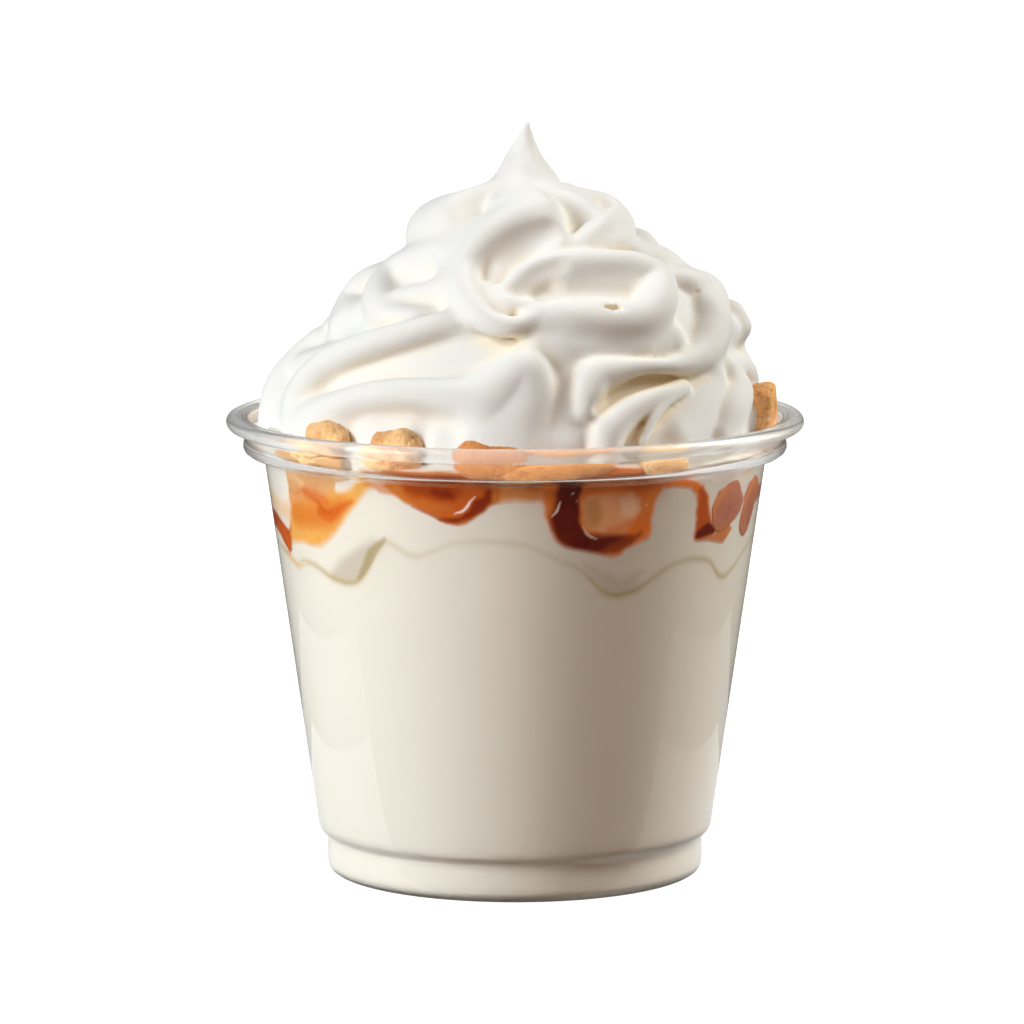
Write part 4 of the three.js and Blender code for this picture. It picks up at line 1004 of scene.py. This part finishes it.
# folds in the order they are laid down, drawn on a front view in mm: across, up, half thickness, height above the dome;
# cuts read across, up, radius, depth below the dome
swirlFolds = [
    # upper left sheet under the peak
    ("add", 4.0, [(-1.6, 112.4, 5.4, 0.4), (-7.6, 109.6, 6.2, 0.5), (-12.2, 108.2, 5.8, 0.9)]),
    ("cut", 3.0, [(-5.5, 115.6, 5, 0.6), (-8.5, 112.6, 7, 1.4), (-10.5, 109.6, 6, 1.0)]),
    # loop at the upper right
    ("add", 2.0, [(5.5, 113.6, 3.4, 0.2), (10, 111.6, 3.6, 0.2), (13, 107.6, 4, 0.2)]),
    ("add", 1.4, [(6.5, 115.4, 1.6, 0.5), (11, 114.6, 1.8, 0.7), (15.3, 113, 2.2, 1.0), (17.6, 109.6, 2.6, 1.3),
                  (17, 106.4, 2.8, 1.3), (12.5, 105, 2.8, 1.0)]),
    ("cut", 2.2, [(9.2, 110.2, 3, 0.5), (12.2, 112.6, 2.6, 0.6)]),
    ("add", 0.8, [(17, 111.6, 1.8, 1.7), (14.8, 109.6, 2.2, 2.0), (12.6, 107.4, 2.4, 1.8), (10.6, 105.4, 2.2, 1.2)]),
    # small fold behind, right
    ("add", 0.9, [(19.6, 103.6, 3.2, 0.2), (23.6, 103, 3.2, 0.4), (27.6, 100.2, 3, 0.0)]),
    ("cut", 0.8, [(25.4, 103, 0.9, 0.5), (27.6, 102.2, 0.8, 0.3)]),
    # left middle: lump and ringed hollow
    ("add", 2.0, [(-25.4, 97.4, 3.6, 0.3), (-26.6, 95, 3.9, 0.4), (-27.4, 91.4, 4.2, 0.3)]),
    ("add", 2.6, [(-6, 104.6, 3, 0.6), (-11, 104.2, 3.2, 0.8), (-15.4, 102.8, 3.1, 0.9), (-19.6, 100.8, 3.1, 1.1),
                  (-22.4, 98, 3, 1.2), (-22.6, 95.4, 3, 1.1), (-19.6, 93.4, 3, 0.8), (-15.5, 92.8, 2.6, 0.5)]),
    ("add", 2.5, [(-16, 101.6, 3.4, 0.4), (-22.4, 98.8, 4, 0.2)]),
    ("cut", 2.6, [(-20.4, 100.6, 4, 0.0), (-16, 101.2, 4.6, 0.3), (-10.5, 102, 4.4, 0.1)]),
    ("add", 1.8, [(-19, 96.8, 1.8, 0.2), (-15.5, 97.6, 1.8, 0.5), (-10.5, 97.6, 2.6, 0.8)]),
    ("cut", 1.4, [(-15.8, 95.4, 1.4, -0.1), (-12.6, 95.8, 1.4, -0.1)]),
    # outer left
    ("add", 2.4, [(-32.6, 88.6, 3.4, 0.0), (-35.6, 85.6, 3.7, 0.2), (-38.6, 81.6, 3.9, 0.2), (-39.3, 77, 4.2, 0.2),
                  (-39, 73, 4.4, 0.2)]),
    # long fold, lower left, with the trough below it
    ("add", 1.8, [(-8, 92.4, 2.2, 0.6), (-11.5, 92.4, 2.2, 1.7), (-16, 91.2, 2.2, 2.3), (-21, 89.8, 2.4, 2.7),
                  (-26, 88.2, 2.6, 3.0), (-30.6, 86, 3, 2.8), (-33.8, 83, 3.3, 2.4), (-35.6, 79.4, 3.8, 1.6),
                  (-35.4, 75.4, 4.4, 0.8)]),
    ("cut", 2.4, [(-32, 81.4, 2.2, 0.6), (-27.6, 83.2, 3, 1.0), (-20, 85.2, 4, 1.4), (-12, 87, 4.6, 1.8),
                  (-6.5, 87.2, 4, 2.0), (-2.5, 90, 2.6, 1.0)]),
    # bottom left mass and its recess
    ("add", 3.0, [(-33, 74.5, 4.6, 0.6), (-29, 73, 4.4, 0.2)]),
    ("add", 2.4, [(-24, 73.2, 2.6, 0.4), (-18, 73.4, 2.4, 0.5)]),
    ("add", 2.4, [(-12.5, 72, 2.6, 0.8), (-7, 71.6, 3, 0.6), (4, 71.2, 4, 0.2)]),
    ("add", 2.6, [(-33.4, 76.4, 3, 1.0), (-29.6, 78.4, 2.8, 1.8), (-25, 79.8, 2.7, 2.2), (-20, 80.4, 2.8, 2.4),
                  (-14, 80.2, 3, 2.4), (-8, 79.4, 3.8, 2.6), (-3.4, 80.2, 4.2, 2.8), (-0.4, 82.8, 4, 3.6),
                  (1.5, 84, 4.1, 3.9), (2.1, 80.5, 4.8, 2.8), (1.2, 76.5, 4.8, 1.9), (-0.5, 72.5, 4.6, 1.4)]),
    ("add", 3.0, [(-2.5, 80, 5, 1.9), (-4, 76, 5, 1.4), (-5, 72, 4.4, 1.2)]),
    ("cut", 2.4, [(-26.5, 74.8, 2.2, 0.1), (-21, 75.2, 2.6, 0.4), (-16, 74.8, 2.6, 0.2), (-12, 74.4, 2.2, -0.4)]),
    # under the ear and the valley in the middle
    ("add", 3.0, [(4, 89, 3.2, 1.0), (12, 88.2, 3.2, 0.9), (20, 88.4, 3.2, 0.9), (25.6, 89.6, 3, 1.1)]),
    ("add", 2.0, [(6.9, 87.6, 3.2, 0.1), (8.6, 83, 3.2, -0.7), (8.6, 78, 3.3, -0.7), (8.4, 72, 3.4, -0.6)]),
    # right: dark side, thin ridges, lobes
    ("add", 1.4, [(26, 73.6, 4.4, -0.6), (29.5, 78, 4.6, -0.5), (31.5, 82, 4.2, 0.0), (31.5, 86, 3.6, 0.3),
                  (34.4, 90, 3.2, 0.3)]),
    ("add", 1.0, [(36.2, 93.9, 2.8, 0.5), (37.6, 92, 2.5, 0.4)]),
    ("add", 1.0, [(36, 88, 2.8, 0.2), (37.1, 87, 2.4, 0.2)]),
    ("add", 0.6, [(34.4, 73.6, 3.2, 0.4), (35.8, 77.2, 3.6, 1.0), (37, 80.2, 3.4, 1.2), (37.6, 82, 2.4, 0.9)]),
    ("add", 1.0, [(14.6, 71.5, 3.4, 0.8), (15.6, 74.2, 3.3, 1.1), (18.3, 76.9, 2.7, 1.2), (21.6, 79, 2.1, 1.1),
                  (25.2, 80.6, 1.6, 0.7), (28.4, 81.6, 1.4, 0.0)]),
    ("add", 0.8, [(21.5, 72.5, 0.9, 0.4), (23.4, 76.4, 0.9, 0.5), (25.6, 79, 0.8, 0.3), (28, 81, 0.8, -0.2)]),
    ("add", 0.9, [(28.8, 98.8, 3, 1.2), (31.6, 97.2, 4, 1.9), (32.4, 93.6, 4.2, 2.1), (32.4, 90.6, 4, 2.0),
                  (31, 87.2, 3.2, 1.5), (27, 85.4, 1.6, 1.4), (22, 85.2, 1.3, 1.5), (17.5, 84.5, 2.2, 1.8),
                  (13.4, 83.2, 3.4, 2.1), (12.2, 80.6, 3, 1.8), (11.6, 77.6, 2.4, 0.8)]),
    ("cut", 1.4, [(28.4, 95.4, 2.2, -0.7), (28.2, 92.6, 2.4, -0.4), (26, 89.6, 2.2, -0.5)]),
    ("cut", 0.8, [(14.2, 78.2, 0.8, 0.2), (17.5, 80.9, 0.9, 0.3), (21.5, 82.4, 0.9, 0.3), (27, 83.2, 0.9, 0.2)]),
    # hook that starts under the peak
    ("add", 2.2, [(-0.8, 112.2, 3.6, 1.6), (3, 111.6, 4.4, 2.2), (5, 108.6, 3.6, 2.0), (6, 105.4, 3, 1.8)]),
    ("add", 2.4, [(0.5, 108.4, 5, 1.8), (-4, 106.2, 5, 1.8), (-8, 102.6, 4.4, 1.7), (-9.2, 98.6, 4, 1.5),
                  (-8.4, 95.6, 3, 1.2)]),
    ("add", 1.4, [(4, 111.4, 3, 2.6), (0.4, 110.6, 3, 2.7), (-3.4, 108.2, 2.8, 2.8), (-6.6, 105, 2.6, 2.9),
                  (-8.2, 101.6, 2.5, 3.0), (-8.2, 98, 2.5, 3.2), (-6.6, 94.8, 2.6, 3.4), (-4, 92.7, 2.3, 3.4),
                  (-0.8, 91.9, 1.8, 3.2), (1.8, 92.6, 1.6, 2.7), (4, 94.4, 1.4, 1.8)]),
    ("add", 2.4, [(2.5, 105, 3.4, -0.6), (-1, 101, 3.6, -0.4), (-1.6, 97, 3, 0.6)]),
    ("cut", 1.0, [(6, 109.2, 2.4, -0.4), (3, 107.2, 3.8, 0.8), (0.2, 104.2, 4.8, 1.6), (-1.4, 100.6, 4.7, 1.5),
                  (-1.8, 97.4, 3.4, 0.4)]),
    # ear
    ("add", 2.4, [(-4.2, 96.8, 2.0, 0.9), (-1.6, 95.4, 2.2, 1.6), (1.2, 95.6, 2.2, 1.6)]),
    ("add", 1.5, [(-1.8, 97.0, 1.7, 0.9), (0.2, 98.8, 2.2, 1.6), (3, 100.6, 2.8, 2.2), (6, 101.8, 2.9, 2.3),
                  (10, 102.6, 2.6, 2.5), (15, 102.8, 2.4, 2.7), (20, 102.2, 2.7, 2.9), (23.6, 99.8, 3.2, 3.0),
                  (23.8, 96, 3.6, 3.0),
                  (21.2, 93.2, 3.7, 3.0), (16.5, 92.4, 3.8, 3.0), (11, 92.8, 3.6, 2.9), (7, 93, 3.2, 2.4),
                  (4.8, 92.3, 2.2, 1.6)]),
    ("add", 2.0, [(8.5, 99.6, 3, 0.8), (13.5, 99.2, 3.4, 0.7), (18.5, 99, 3, 0.8)]),
    ("cut", 0.9, [(9.4, 101.2, 2.6, -1.2), (12.6, 101, 3.4, -0.8), (17.6, 101, 3.6, -0.8)]),
    ("cut", 1.6, [(1.2, 98.6, 1.8, 0.1), (3.8, 100.8, 2, -0.5), (7.4, 102.8, 1.4, -1.6)]),
    ("cut", 0.6, [(15.4, 94.8, 0.8, -0.9), (17.2, 94.7, 0.9, -0.9)]),
    # peak
    ("add", 1.0, [(2.1, 127.6, 0.35, 0.0), (2.5, 124, 0.8, -0.1), (3.2, 121, 1.4, -0.3), (5.2, 117.6, 2.0, -0.4)]),
    ("add", 0.9, [(1.6, 126.4, 0.35, 0.1), (0.8, 124.4, 0.7, 0.3), (-0.3, 122, 1.1, 0.5), (-1.5, 118.6, 1.5, 0.8),
                  (-2, 115.4, 2.2, 0.9), (-1.8, 112.2, 2.8, 1.0)]),
    ("add", 0.9, [(1.9, 126.8, 0.3, 0.0), (2.3, 122.5, 0.9, 0.4), (3.1, 119.3, 1.3, 0.8), (5.2, 116.8, 1.6, 1.0),
                  (8.4, 115.2, 2, 1.0)]),
    ("add", 1.4, [(0.7, 119.6, 1.0, 0.3), (0.2, 116.8, 1.6, 0.8)]),
    ("cut", 0.4, [(3.4, 124, 0.4, 0.1), (4.9, 120.6, 0.6, 0.1), (7.6, 117.6, 0.7, 0.0)]),
]

# folds that carry on round the two sides: azimuth, height, half thickness, height above the dome
sideFolds = [
    [(66, 95, 2.6, 0.3), (78, 94.6, 2.8, 0.5), (92, 92.5, 2.8, 0.6), (108, 88.6, 2.8, 0.6), (122, 84.5, 2.4, -0.4)],
    [(68, 88.4, 2.4, 0.3), (80, 87.6, 2.6, 0.5), (94, 85.4, 2.8, 0.6), (108, 81, 3, 0.8), (120, 77, 3, 0.6)],
    [(62, 104, 2.4, -0.4), (78, 103, 2.8, 0.4), (94, 100.4, 2.8, 0.6), (108, 96.6, 2.6, 0.2)],
    [(76, 79.4, 2.8, 0.3), (90, 77, 3.2, 0.6), (102, 74, 3.2, 0.6)],
    [(-72, 97.4, 2.8, -0.2), (-86, 96, 3, 0.3), (-100, 92.6, 3, 0.6), (-114, 88.4, 3, 0.6), (-126, 85, 2.6, -0.4)],
    [(-74, 90, 2.6, -0.2), (-88, 87.4, 3, 0.2), (-102, 83, 3.2, 0.6), (-116, 78.6, 3.2, 0.6)],
    [(-70, 104, 2.4, -0.4), (-86, 103.4, 2.8, 0.2), (-102, 100.4, 2.8, 0.5), (-116, 96.6, 2.6, 0.0)],
]


def envelopeRadius(z):
    return np.interp(z, [p[0] for p in envelope], [p[1] for p in envelope])


def envelopeShift(z):
    return np.interp(z, [p[0] for p in lean], [p[1] for p in lean])


def envelopeSlope(z):
    return (envelopeRadius(z + 1) - envelopeRadius(z - 1)) / 2


def envelopeGap(x, y, z):
    return (np.hypot(x - envelopeShift(z), y) - envelopeRadius(z)) / np.sqrt(1 + envelopeSlope(z) ** 2)


def layOnDome(across, up, thick, lift):
    # goes back from the front view until it is lift - thick from the dome
    look = swirlLook
    tilt = math.radians(look["viewTilt"])
    y = np.arange(-60, 12, 0.05)
    closer = 1 + y / look["viewDistance"]
    x = across * closer
    z = (look["viewMiddle"] + (up - look["viewMiddle"]) * closer - y * math.sin(tilt)) / math.cos(tilt)
    gap = envelopeGap(x, y, z) - (lift - thick)
    met = np.where((gap[:-1] > 0) & (gap[1:] <= 0))[0]
    i = met[0] + 1 if len(met) else int(np.argmin(np.abs(gap)))
    return [x[i], y[i], z[i], thick]


def layRound(angle, z, thick, lift):
    # the same from any side: straight out from the axis
    slope = envelopeSlope(z)
    tilt = math.sqrt(1 + slope ** 2)
    depth = thick - lift
    radius = max(envelopeRadius(z) - depth / tilt, 0)
    return [envelopeShift(z) + radius * math.sin(angle), -radius * math.cos(angle), z + depth * slope / tilt, thick]


def smoothPath(points, steps):
    points = np.array(points, float)
    if len(points) == 2:
        share = np.linspace(0, 1, steps + 1)[:, None]
        return points[0] * (1 - share) + points[1] * share
    ends = np.vstack([2 * points[0] - points[1], points, 2 * points[-1] - points[-2]])
    out = []
    for a, b, c, d in zip(ends, ends[1:], ends[2:], ends[3:]):
        for t in np.arange(steps) / steps:
            bend = (2 * a - 5 * b + 4 * c - d) * t * t + (3 * b - a - 3 * c + d) * t ** 3
            out.append(0.5 * (2 * b + (c - a) * t + bend))
    out.append(points[-1])
    return np.array(out)


class foldGrid:
    def __init__(self, low, high, cell):
        self.low = np.array(low, float)
        self.cell = cell
        self.count = np.ceil((np.array(high) - self.low) / cell).astype(int) + 1
        self.axes = [(self.low[i] + np.arange(self.count[i]) * cell).astype(np.float32) for i in range(3)]
        self.gap = np.full(self.count, 50, np.float32)

    def span(self, low, high):
        a = np.clip(np.floor((low - self.low) / self.cell).astype(int), 0, self.count - 1)
        b = np.clip(np.ceil((high - self.low) / self.cell).astype(int) + 1, 1, self.count)
        return a, b

    def ropeGap(self, path, pad):
        points, thick = path[:, :3], path[:, 3]
        start, stop = self.span((points - thick[:, None]).min(0) - pad, (points + thick[:, None]).max(0) + pad)
        gap = np.full(stop - start, 30, np.float32)
        for p, q, r0, r1 in zip(points, points[1:], thick, thick[1:]):
            reach = max(r0, r1) + pad
            a, b = self.span(np.minimum(p, q) - reach, np.maximum(p, q) + reach)
            a, b = np.maximum(a, start), np.minimum(b, stop)
            if (b <= a).any():
                continue
            x = self.axes[0][a[0]:b[0]][:, None, None] - np.float32(p[0])
            y = self.axes[1][a[1]:b[1]][None, :, None] - np.float32(p[1])
            z = self.axes[2][a[2]:b[2]][None, None, :] - np.float32(p[2])
            v = (q - p).astype(np.float32)
            t = np.clip((x * v[0] + y * v[1] + z * v[2]) / (float(v @ v) + 1e-9), 0, 1)
            away = np.sqrt((x - t * v[0]) ** 2 + (y - t * v[1]) ** 2 + (z - t * v[2]) ** 2)
            here = tuple(slice(a[i] - start[i], b[i] - start[i]) for i in range(3))
            gap[here] = np.minimum(gap[here], away - (r0 + (r1 - r0) * t))
        return tuple(slice(start[i], stop[i]) for i in range(3)), gap

    def add(self, path, blend):
        here, gap = self.ropeGap(path, blend + 1.5)
        self.gap[here] = softMin(self.gap[here], gap, blend)

    def carve(self, path, blend):
        here, gap = self.ropeGap(path, blend + 1.5)
        self.gap[here] = softMax(self.gap[here], -gap, blend)

    def sample(self, points):
        g = (points - self.low) / self.cell
        i = np.clip(np.floor(g).astype(int), 0, self.count - 2)
        t = np.clip(g - i, 0, 1)
        total = 0
        for a in (0, 1):
            for b in (0, 1):
                for c in (0, 1):
                    weight = ((t[:, 0] if a else 1 - t[:, 0]) * (t[:, 1] if b else 1 - t[:, 1])
                              * (t[:, 2] if c else 1 - t[:, 2]))
                    total = total + weight * self.gap[i[:, 0] + a, i[:, 1] + b, i[:, 2] + c]
        return total

    def skin(self):
        # one vertex in each cell that the surface crosses, one face across each crossed grid edge
        inside = self.gap < 0
        cells = self.count - 1
        total = int(np.prod(cells))
        hits = np.zeros(total)
        sums = np.zeros((3, total))
        strides = np.array([cells[1] * cells[2], cells[2], 1])
        quads = []
        for axis in range(3):
            first, second = [slice(None)] * 3, [slice(None)] * 3
            first[axis], second[axis] = slice(0, -1), slice(1, None)
            crossed = inside[tuple(first)] != inside[tuple(second)]
            at = np.argwhere(crossed)
            g0, g1 = self.gap[tuple(first)][crossed], self.gap[tuple(second)][crossed]
            point = at.astype(float)
            point[:, axis] += g0 / (g0 - g1)
            u, v = [a for a in range(3) if a != axis]
            keep = (at[:, u] > 0) & (at[:, v] > 0) & (at[:, u] < cells[u]) & (at[:, v] < cells[v])
            at, point, starts = at[keep], point[keep], g0[keep] < 0
            corners = []
            for du, dv in ((-1, -1), (0, -1), (0, 0), (-1, 0)):
                cell = at.copy()
                cell[:, u] += du
                cell[:, v] += dv
                flat = cell @ strides
                corners.append(flat)
                hits += np.bincount(flat, minlength=total)
                for j in range(3):
                    sums[j] += np.bincount(flat, weights=point[:, j], minlength=total)
            quad = np.stack(corners, 1)
            keepWay = starts if axis != 1 else ~starts
            quad[~keepWay] = quad[~keepWay][:, ::-1]
            quads.append(quad)
        quads = np.vstack(quads)
        used = np.unique(quads)
        number = np.full(total, -1)
        number[used] = np.arange(len(used))
        verts = (sums[:, used] / hits[used]).T * self.cell + self.low
        return verts, number[quads]


def makeSwirl():
    look = swirlLook
    grid = foldGrid((-48, -48, 70), (48, 48, 130), look["cell"])
    x, y, z = grid.axes
    depth = look["coreDepth"] * (1 - np.clip((z - 113) / 6, 0, 1))
    slope = envelopeSlope(z)
    core = np.hypot(x[:, None, None] - envelopeShift(z)[None, None], y[None, :, None]) - envelopeRadius(z)[None, None]
    grid.gap = (core / np.sqrt(1 + slope ** 2)[None, None] + depth[None, None]).astype(np.float32)
    for kind, blend, path in swirlFolds:
        if kind == "cut":
            path = [(across, up, size, 2 * size - depth) for across, up, size, depth in path]
        points = smoothPath([layOnDome(*p) for p in path], look["steps"])
        (grid.carve if kind == "cut" else grid.add)(points, blend)
    for blend, path in backFolds():
        grid.add(smoothPath([layRound(*p) for p in path], look["steps"]), blend)
    grid.gap = np.maximum(grid.gap, (look["bottom"] - z).astype(np.float32)[None, None])
    verts, quads = grid.skin()
    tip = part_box("whipped_cream")[1].z / mm
    samples = verts.copy()
    verts[:, 2] += (tip - verts[:, 2].max()) * smoothStep(100, 126, verts[:, 2])  # the tip ends where the solid's does
    material = makeCreamMaterial("whippedCream", creamLook["color"], creamLook["drift"], creamLook["subsurface"])
    piece = addPiece("whippedSwirl", verts, quads, material, ["whipped_cream"])
    normals = vertexNormals(piece)
    # painted shade: hollows between folds are tinted warm, more where the folds close over the surface and more low
    # down on the right
    closed = 0
    for reach, weight in ((1.2, 0.3), (2.5, 0.35), (5, 0.35)):
        closed = closed + weight * np.clip(1 - grid.sample(samples + normals * reach) / reach, 0, 1)
    shadeStrength = 0.75 + 0.75 * smoothStep(-6, 6, verts[:, 0]) * smoothStep(94, 84, verts[:,
        2])  # richest low down on the right
    paint(piece, "paintedHollowShade", np.clip((closed - 0.12) / 0.7 * shadeStrength, 0, 1))
    for name in ("shade", "line"):
        paint(piece, name, np.zeros(len(verts)))
    return piece


def backFolds():
    # tiers of slanting folds round the hidden side, each tucked under the next
    folds = []
    tiers = [(77.5, 168, 6), (84.5, 172, 6), (91.5, 160, 5), (98.5, 164, 4), (105.5, 172, 3)]
    for row, (up, width, count) in enumerate(tiers):
        for i in range(count):
            middle = 180 + (i - (count - 1) / 2) * width / count + (row % 2) * 10 - 5
            half = width / count * 0.5 + 11
            sway = 1.7 * math.sin(i * 2.3 + row * 1.7)
            path = []
            for t in (-1, -0.65, -0.3, 0.1, 0.5, 0.8, 1):
                around = middle + half * t
                side = smoothStep(92, 122, around) * smoothStep(268, 238, around)
                rise = up - 3.0 * t + 1.8 * math.sin(t * 2.4 + sway)
                lift = (1.5 + 1.1 * t - 1.6 * max(t - 0.6, 0)) * side - 1.4 * (1 - side)
                path.append((math.radians(around), rise, 3.7 * (1 - 0.3 * t * t), lift))
            folds.append((1.2, path))
    for path in sideFolds:
        folds.append((1.4, [(math.radians(a), z, thick, lift) for a, z, thick, lift in path]))
    return folds


makeSwirl()
report("whipped cream")

stageLook = {
    "floorColor": (0.25, 0.25, 0.25, 1),
    "floorGlow": 0.9,
    "sunStrength": 1.5,
    "keyPower": 13.4,
    "sidePower": 13.2,
    "fillPower": 1.2,
    "worldDim": 0.03,
    "mirrorLevel": 0.03,  # brightness of the room in reflections
    "turnedLevel": 0.55,  # and in reflections seen through the plastic
    "cardLevel": 0.05,  # brightness of the far cards in reflections, then of the two on the floor and the one above
    "midLevel": 0.4,
    "nearLevel": 0.8,
    "overLevel": 0.5,
    "boxDistance": 1.1,
    "boxSize": 0.6,
    "aimHeight": 0.07,
    "lens": 219.5,
    "cameraPlace": (-0.00051, -1.05, 0.2122),
    "cameraTilt": 8.18,  # degrees down
}


def directView(tree):
    # 1 for what the camera sees straight or through clear plastic, less once mirrored, 0 for light bouncing off food
    path = tree.nodes.new("ShaderNodeLightPath")
    notSoft = calc(tree, "LESS_THAN", path.outputs["Diffuse Depth"], 0.5)
    unturned = calc(tree, "LESS_THAN", path.outputs["Glossy Depth"], 0.5)
    through = calc(tree, "MULTIPLY", path.outputs["Is Transmission Ray"],
                   calc(tree, "MAXIMUM", unturned, stageLook["turnedLevel"]))
    clear = calc(tree, "MAXIMUM", through,
                 calc(tree, "MULTIPLY", path.outputs["Is Glossy Ray"], stageLook["mirrorLevel"]))
    return calc(tree, "MAXIMUM", path.outputs["Is Camera Ray"], calc(tree, "MULTIPLY", clear, notSoft))


def makeFloor():
    side = 6.0
    verts = [(-side, -side, 0), (side, -side, 0), (side, side, 0), (-side, side, 0)]
    mesh = bpy.data.meshes.new("studioFloor")
    mesh.from_pydata(verts, [], [(0, 1, 2, 3)])
    floor = bpy.data.objects.new("studioFloor", mesh)
    floor.location.z = -0.00005
    bpy.context.scene.collection.objects.link(floor)
    material, tree, shader = newMaterial("paleFloor")
    dim = tree.nodes.new("ShaderNodeBsdfDiffuse")
    dim.inputs["Color"].default_value = (0.06, 0.052, 0.042, 1)
    glow = tree.nodes.new("ShaderNodeEmission")
    glow.inputs["Strength"].default_value = stageLook["floorGlow"]
    both = tree.nodes.new("ShaderNodeAddShader")
    seen = directView(tree)
    mix = tree.nodes.new("ShaderNodeMixShader")
    flat = tree.nodes.new("ShaderNodeBsdfDiffuse")
    flat.inputs["Color"].default_value = stageLook["floorColor"]
    join(tree, flat.outputs[0], both.inputs[0])
    join(tree, glow.outputs[0], both.inputs[1])
    join(tree, seen, mix.inputs[0])
    join(tree, dim.outputs[0], mix.inputs[1])
    join(tree, both.outputs[0], mix.inputs[2])
    join(tree, mix.outputs[0], tree.nodes["Material Output"].inputs["Surface"])
    tree.nodes.remove(shader)
    mesh.materials.append(material)
    return floor


def makeLights(floor):
    look = stageLook
    target = Vector((0, 0, look["aimHeight"]))
    for name, azimuth, rise, power, color in (
            ("keyBox", -60, 25, look["keyPower"], (0.96, 1, 1)), ("sideBox", 103, 40, look["sidePower"], (1, 1, 0.95)),
            ("warmFill", 0, 15, look["fillPower"], (1, 0.45, 0.15))):
        lamp = bpy.data.lights.new(name, "AREA")
        lamp.shape = "RECTANGLE"
        lamp.size = lamp.size_y = look["boxSize"]
        lamp.energy = power
        lamp.color = color
        box = bpy.data.objects.new(name, lamp)
        bpy.context.scene.collection.objects.link(box)
        a, e = math.radians(azimuth), math.radians(rise)
        away = Vector((math.sin(a) * math.cos(e), -math.cos(a) * math.cos(e), math.sin(e)))
        box.location = target + look["boxDistance"] * away
        box.rotation_euler = (target - box.location).to_track_quat("-Z", "Y").to_euler()
        box.visible_glossy = False
    sun = bpy.data.lights.new("floorSun", "SUN")
    sun.energy = stageLook["sunStrength"]
    sun.angle = math.radians(70)
    sunObject = bpy.data.objects.new("floorSun", sun)
    sunObject.rotation_euler = (math.radians(12), math.radians(-8), 0)
    bpy.context.scene.collection.objects.link(sunObject)
    only = bpy.data.collections.new("floorOnly")
    only.objects.link(floor)
    sunObject.light_linking.receiver_collection = only


def makeCard(name, low, high, level):
    # a white card that only shows in reflections
    (x0, y0, z0), (x1, y1, z1) = low, high
    mesh = bpy.data.meshes.new(name)
    mesh.from_pydata([(x0, y0, z0), (x1, y0, z0), (x1, y1, z1), (x0, y1, z1)], [], [(0, 1, 2, 3)])
    card = bpy.data.objects.new(name, mesh)
    bpy.context.scene.collection.objects.link(card)
    material, tree, shader = newMaterial(name, Base_Color=(0, 0, 0, 1), Roughness=1.0, Emission_Strength=level)
    shader.inputs["Emission Color"].default_value = (1, 1, 1, 1)
    mesh.materials.append(material)
    card.visible_camera = card.visible_diffuse = card.visible_transmission = card.visible_shadow = False
    return card


def makeWorld():
    world = bpy.data.worlds.new("studio")
    bpy.context.scene.world = world
    world.use_nodes = True
    tree = world.node_tree
    lit = tree.nodes["Background"]
    lit.inputs["Color"].default_value = (1.0, 0.93, 0.84, 1)
    lit.inputs["Strength"].default_value = stageLook["worldDim"]
    white = tree.nodes.new("ShaderNodeBackground")
    white.inputs["Color"].default_value = (1, 1, 1, 1)
    seen = directView(tree)
    mix = tree.nodes.new("ShaderNodeMixShader")
    join(tree, seen, mix.inputs[0])
    join(tree, lit.outputs[0], mix.inputs[1])
    join(tree, white.outputs[0], mix.inputs[2])
    join(tree, mix.outputs[0], tree.nodes["World Output"].inputs["Surface"])


def makeCamera():
    lens = bpy.data.cameras.new("viewCamera")
    lens.sensor_width = 36
    lens.lens = stageLook["lens"]
    lens.clip_start = 0.02
    camera = bpy.data.objects.new("viewCamera", lens)
    camera.location = stageLook["cameraPlace"]
    camera.rotation_euler = (math.radians(90 - stageLook["cameraTilt"]), 0, 0)
    bpy.context.scene.collection.objects.link(camera)
    bpy.context.scene.camera = camera


makeLights(makeFloor())
makeCard("backCard", (-1.6, 1.0, 0), (1.6, 1.0, 1.6), stageLook["cardLevel"])
makeCard("backGround", (-1.6, 0.06, 0.0005), (1.6, 1.0, 0.0005), stageLook["cardLevel"])
makeCard("midGround", (-0.15, -0.03, 0.0007), (0.15, 0.13, 0.0007), stageLook["midLevel"])
makeCard("nearGround", (-0.09, -0.03, 0.0009), (0.09, 0.075, 0.0009), stageLook["nearLevel"])
makeCard("overCard", (-0.5, -0.5, 1.0), (0.5, 0.5, 1.0), stageLook["overLevel"])
makeWorld()
makeCamera()
bpy.context.scene.view_settings.view_transform = "Standard"
report("stage")
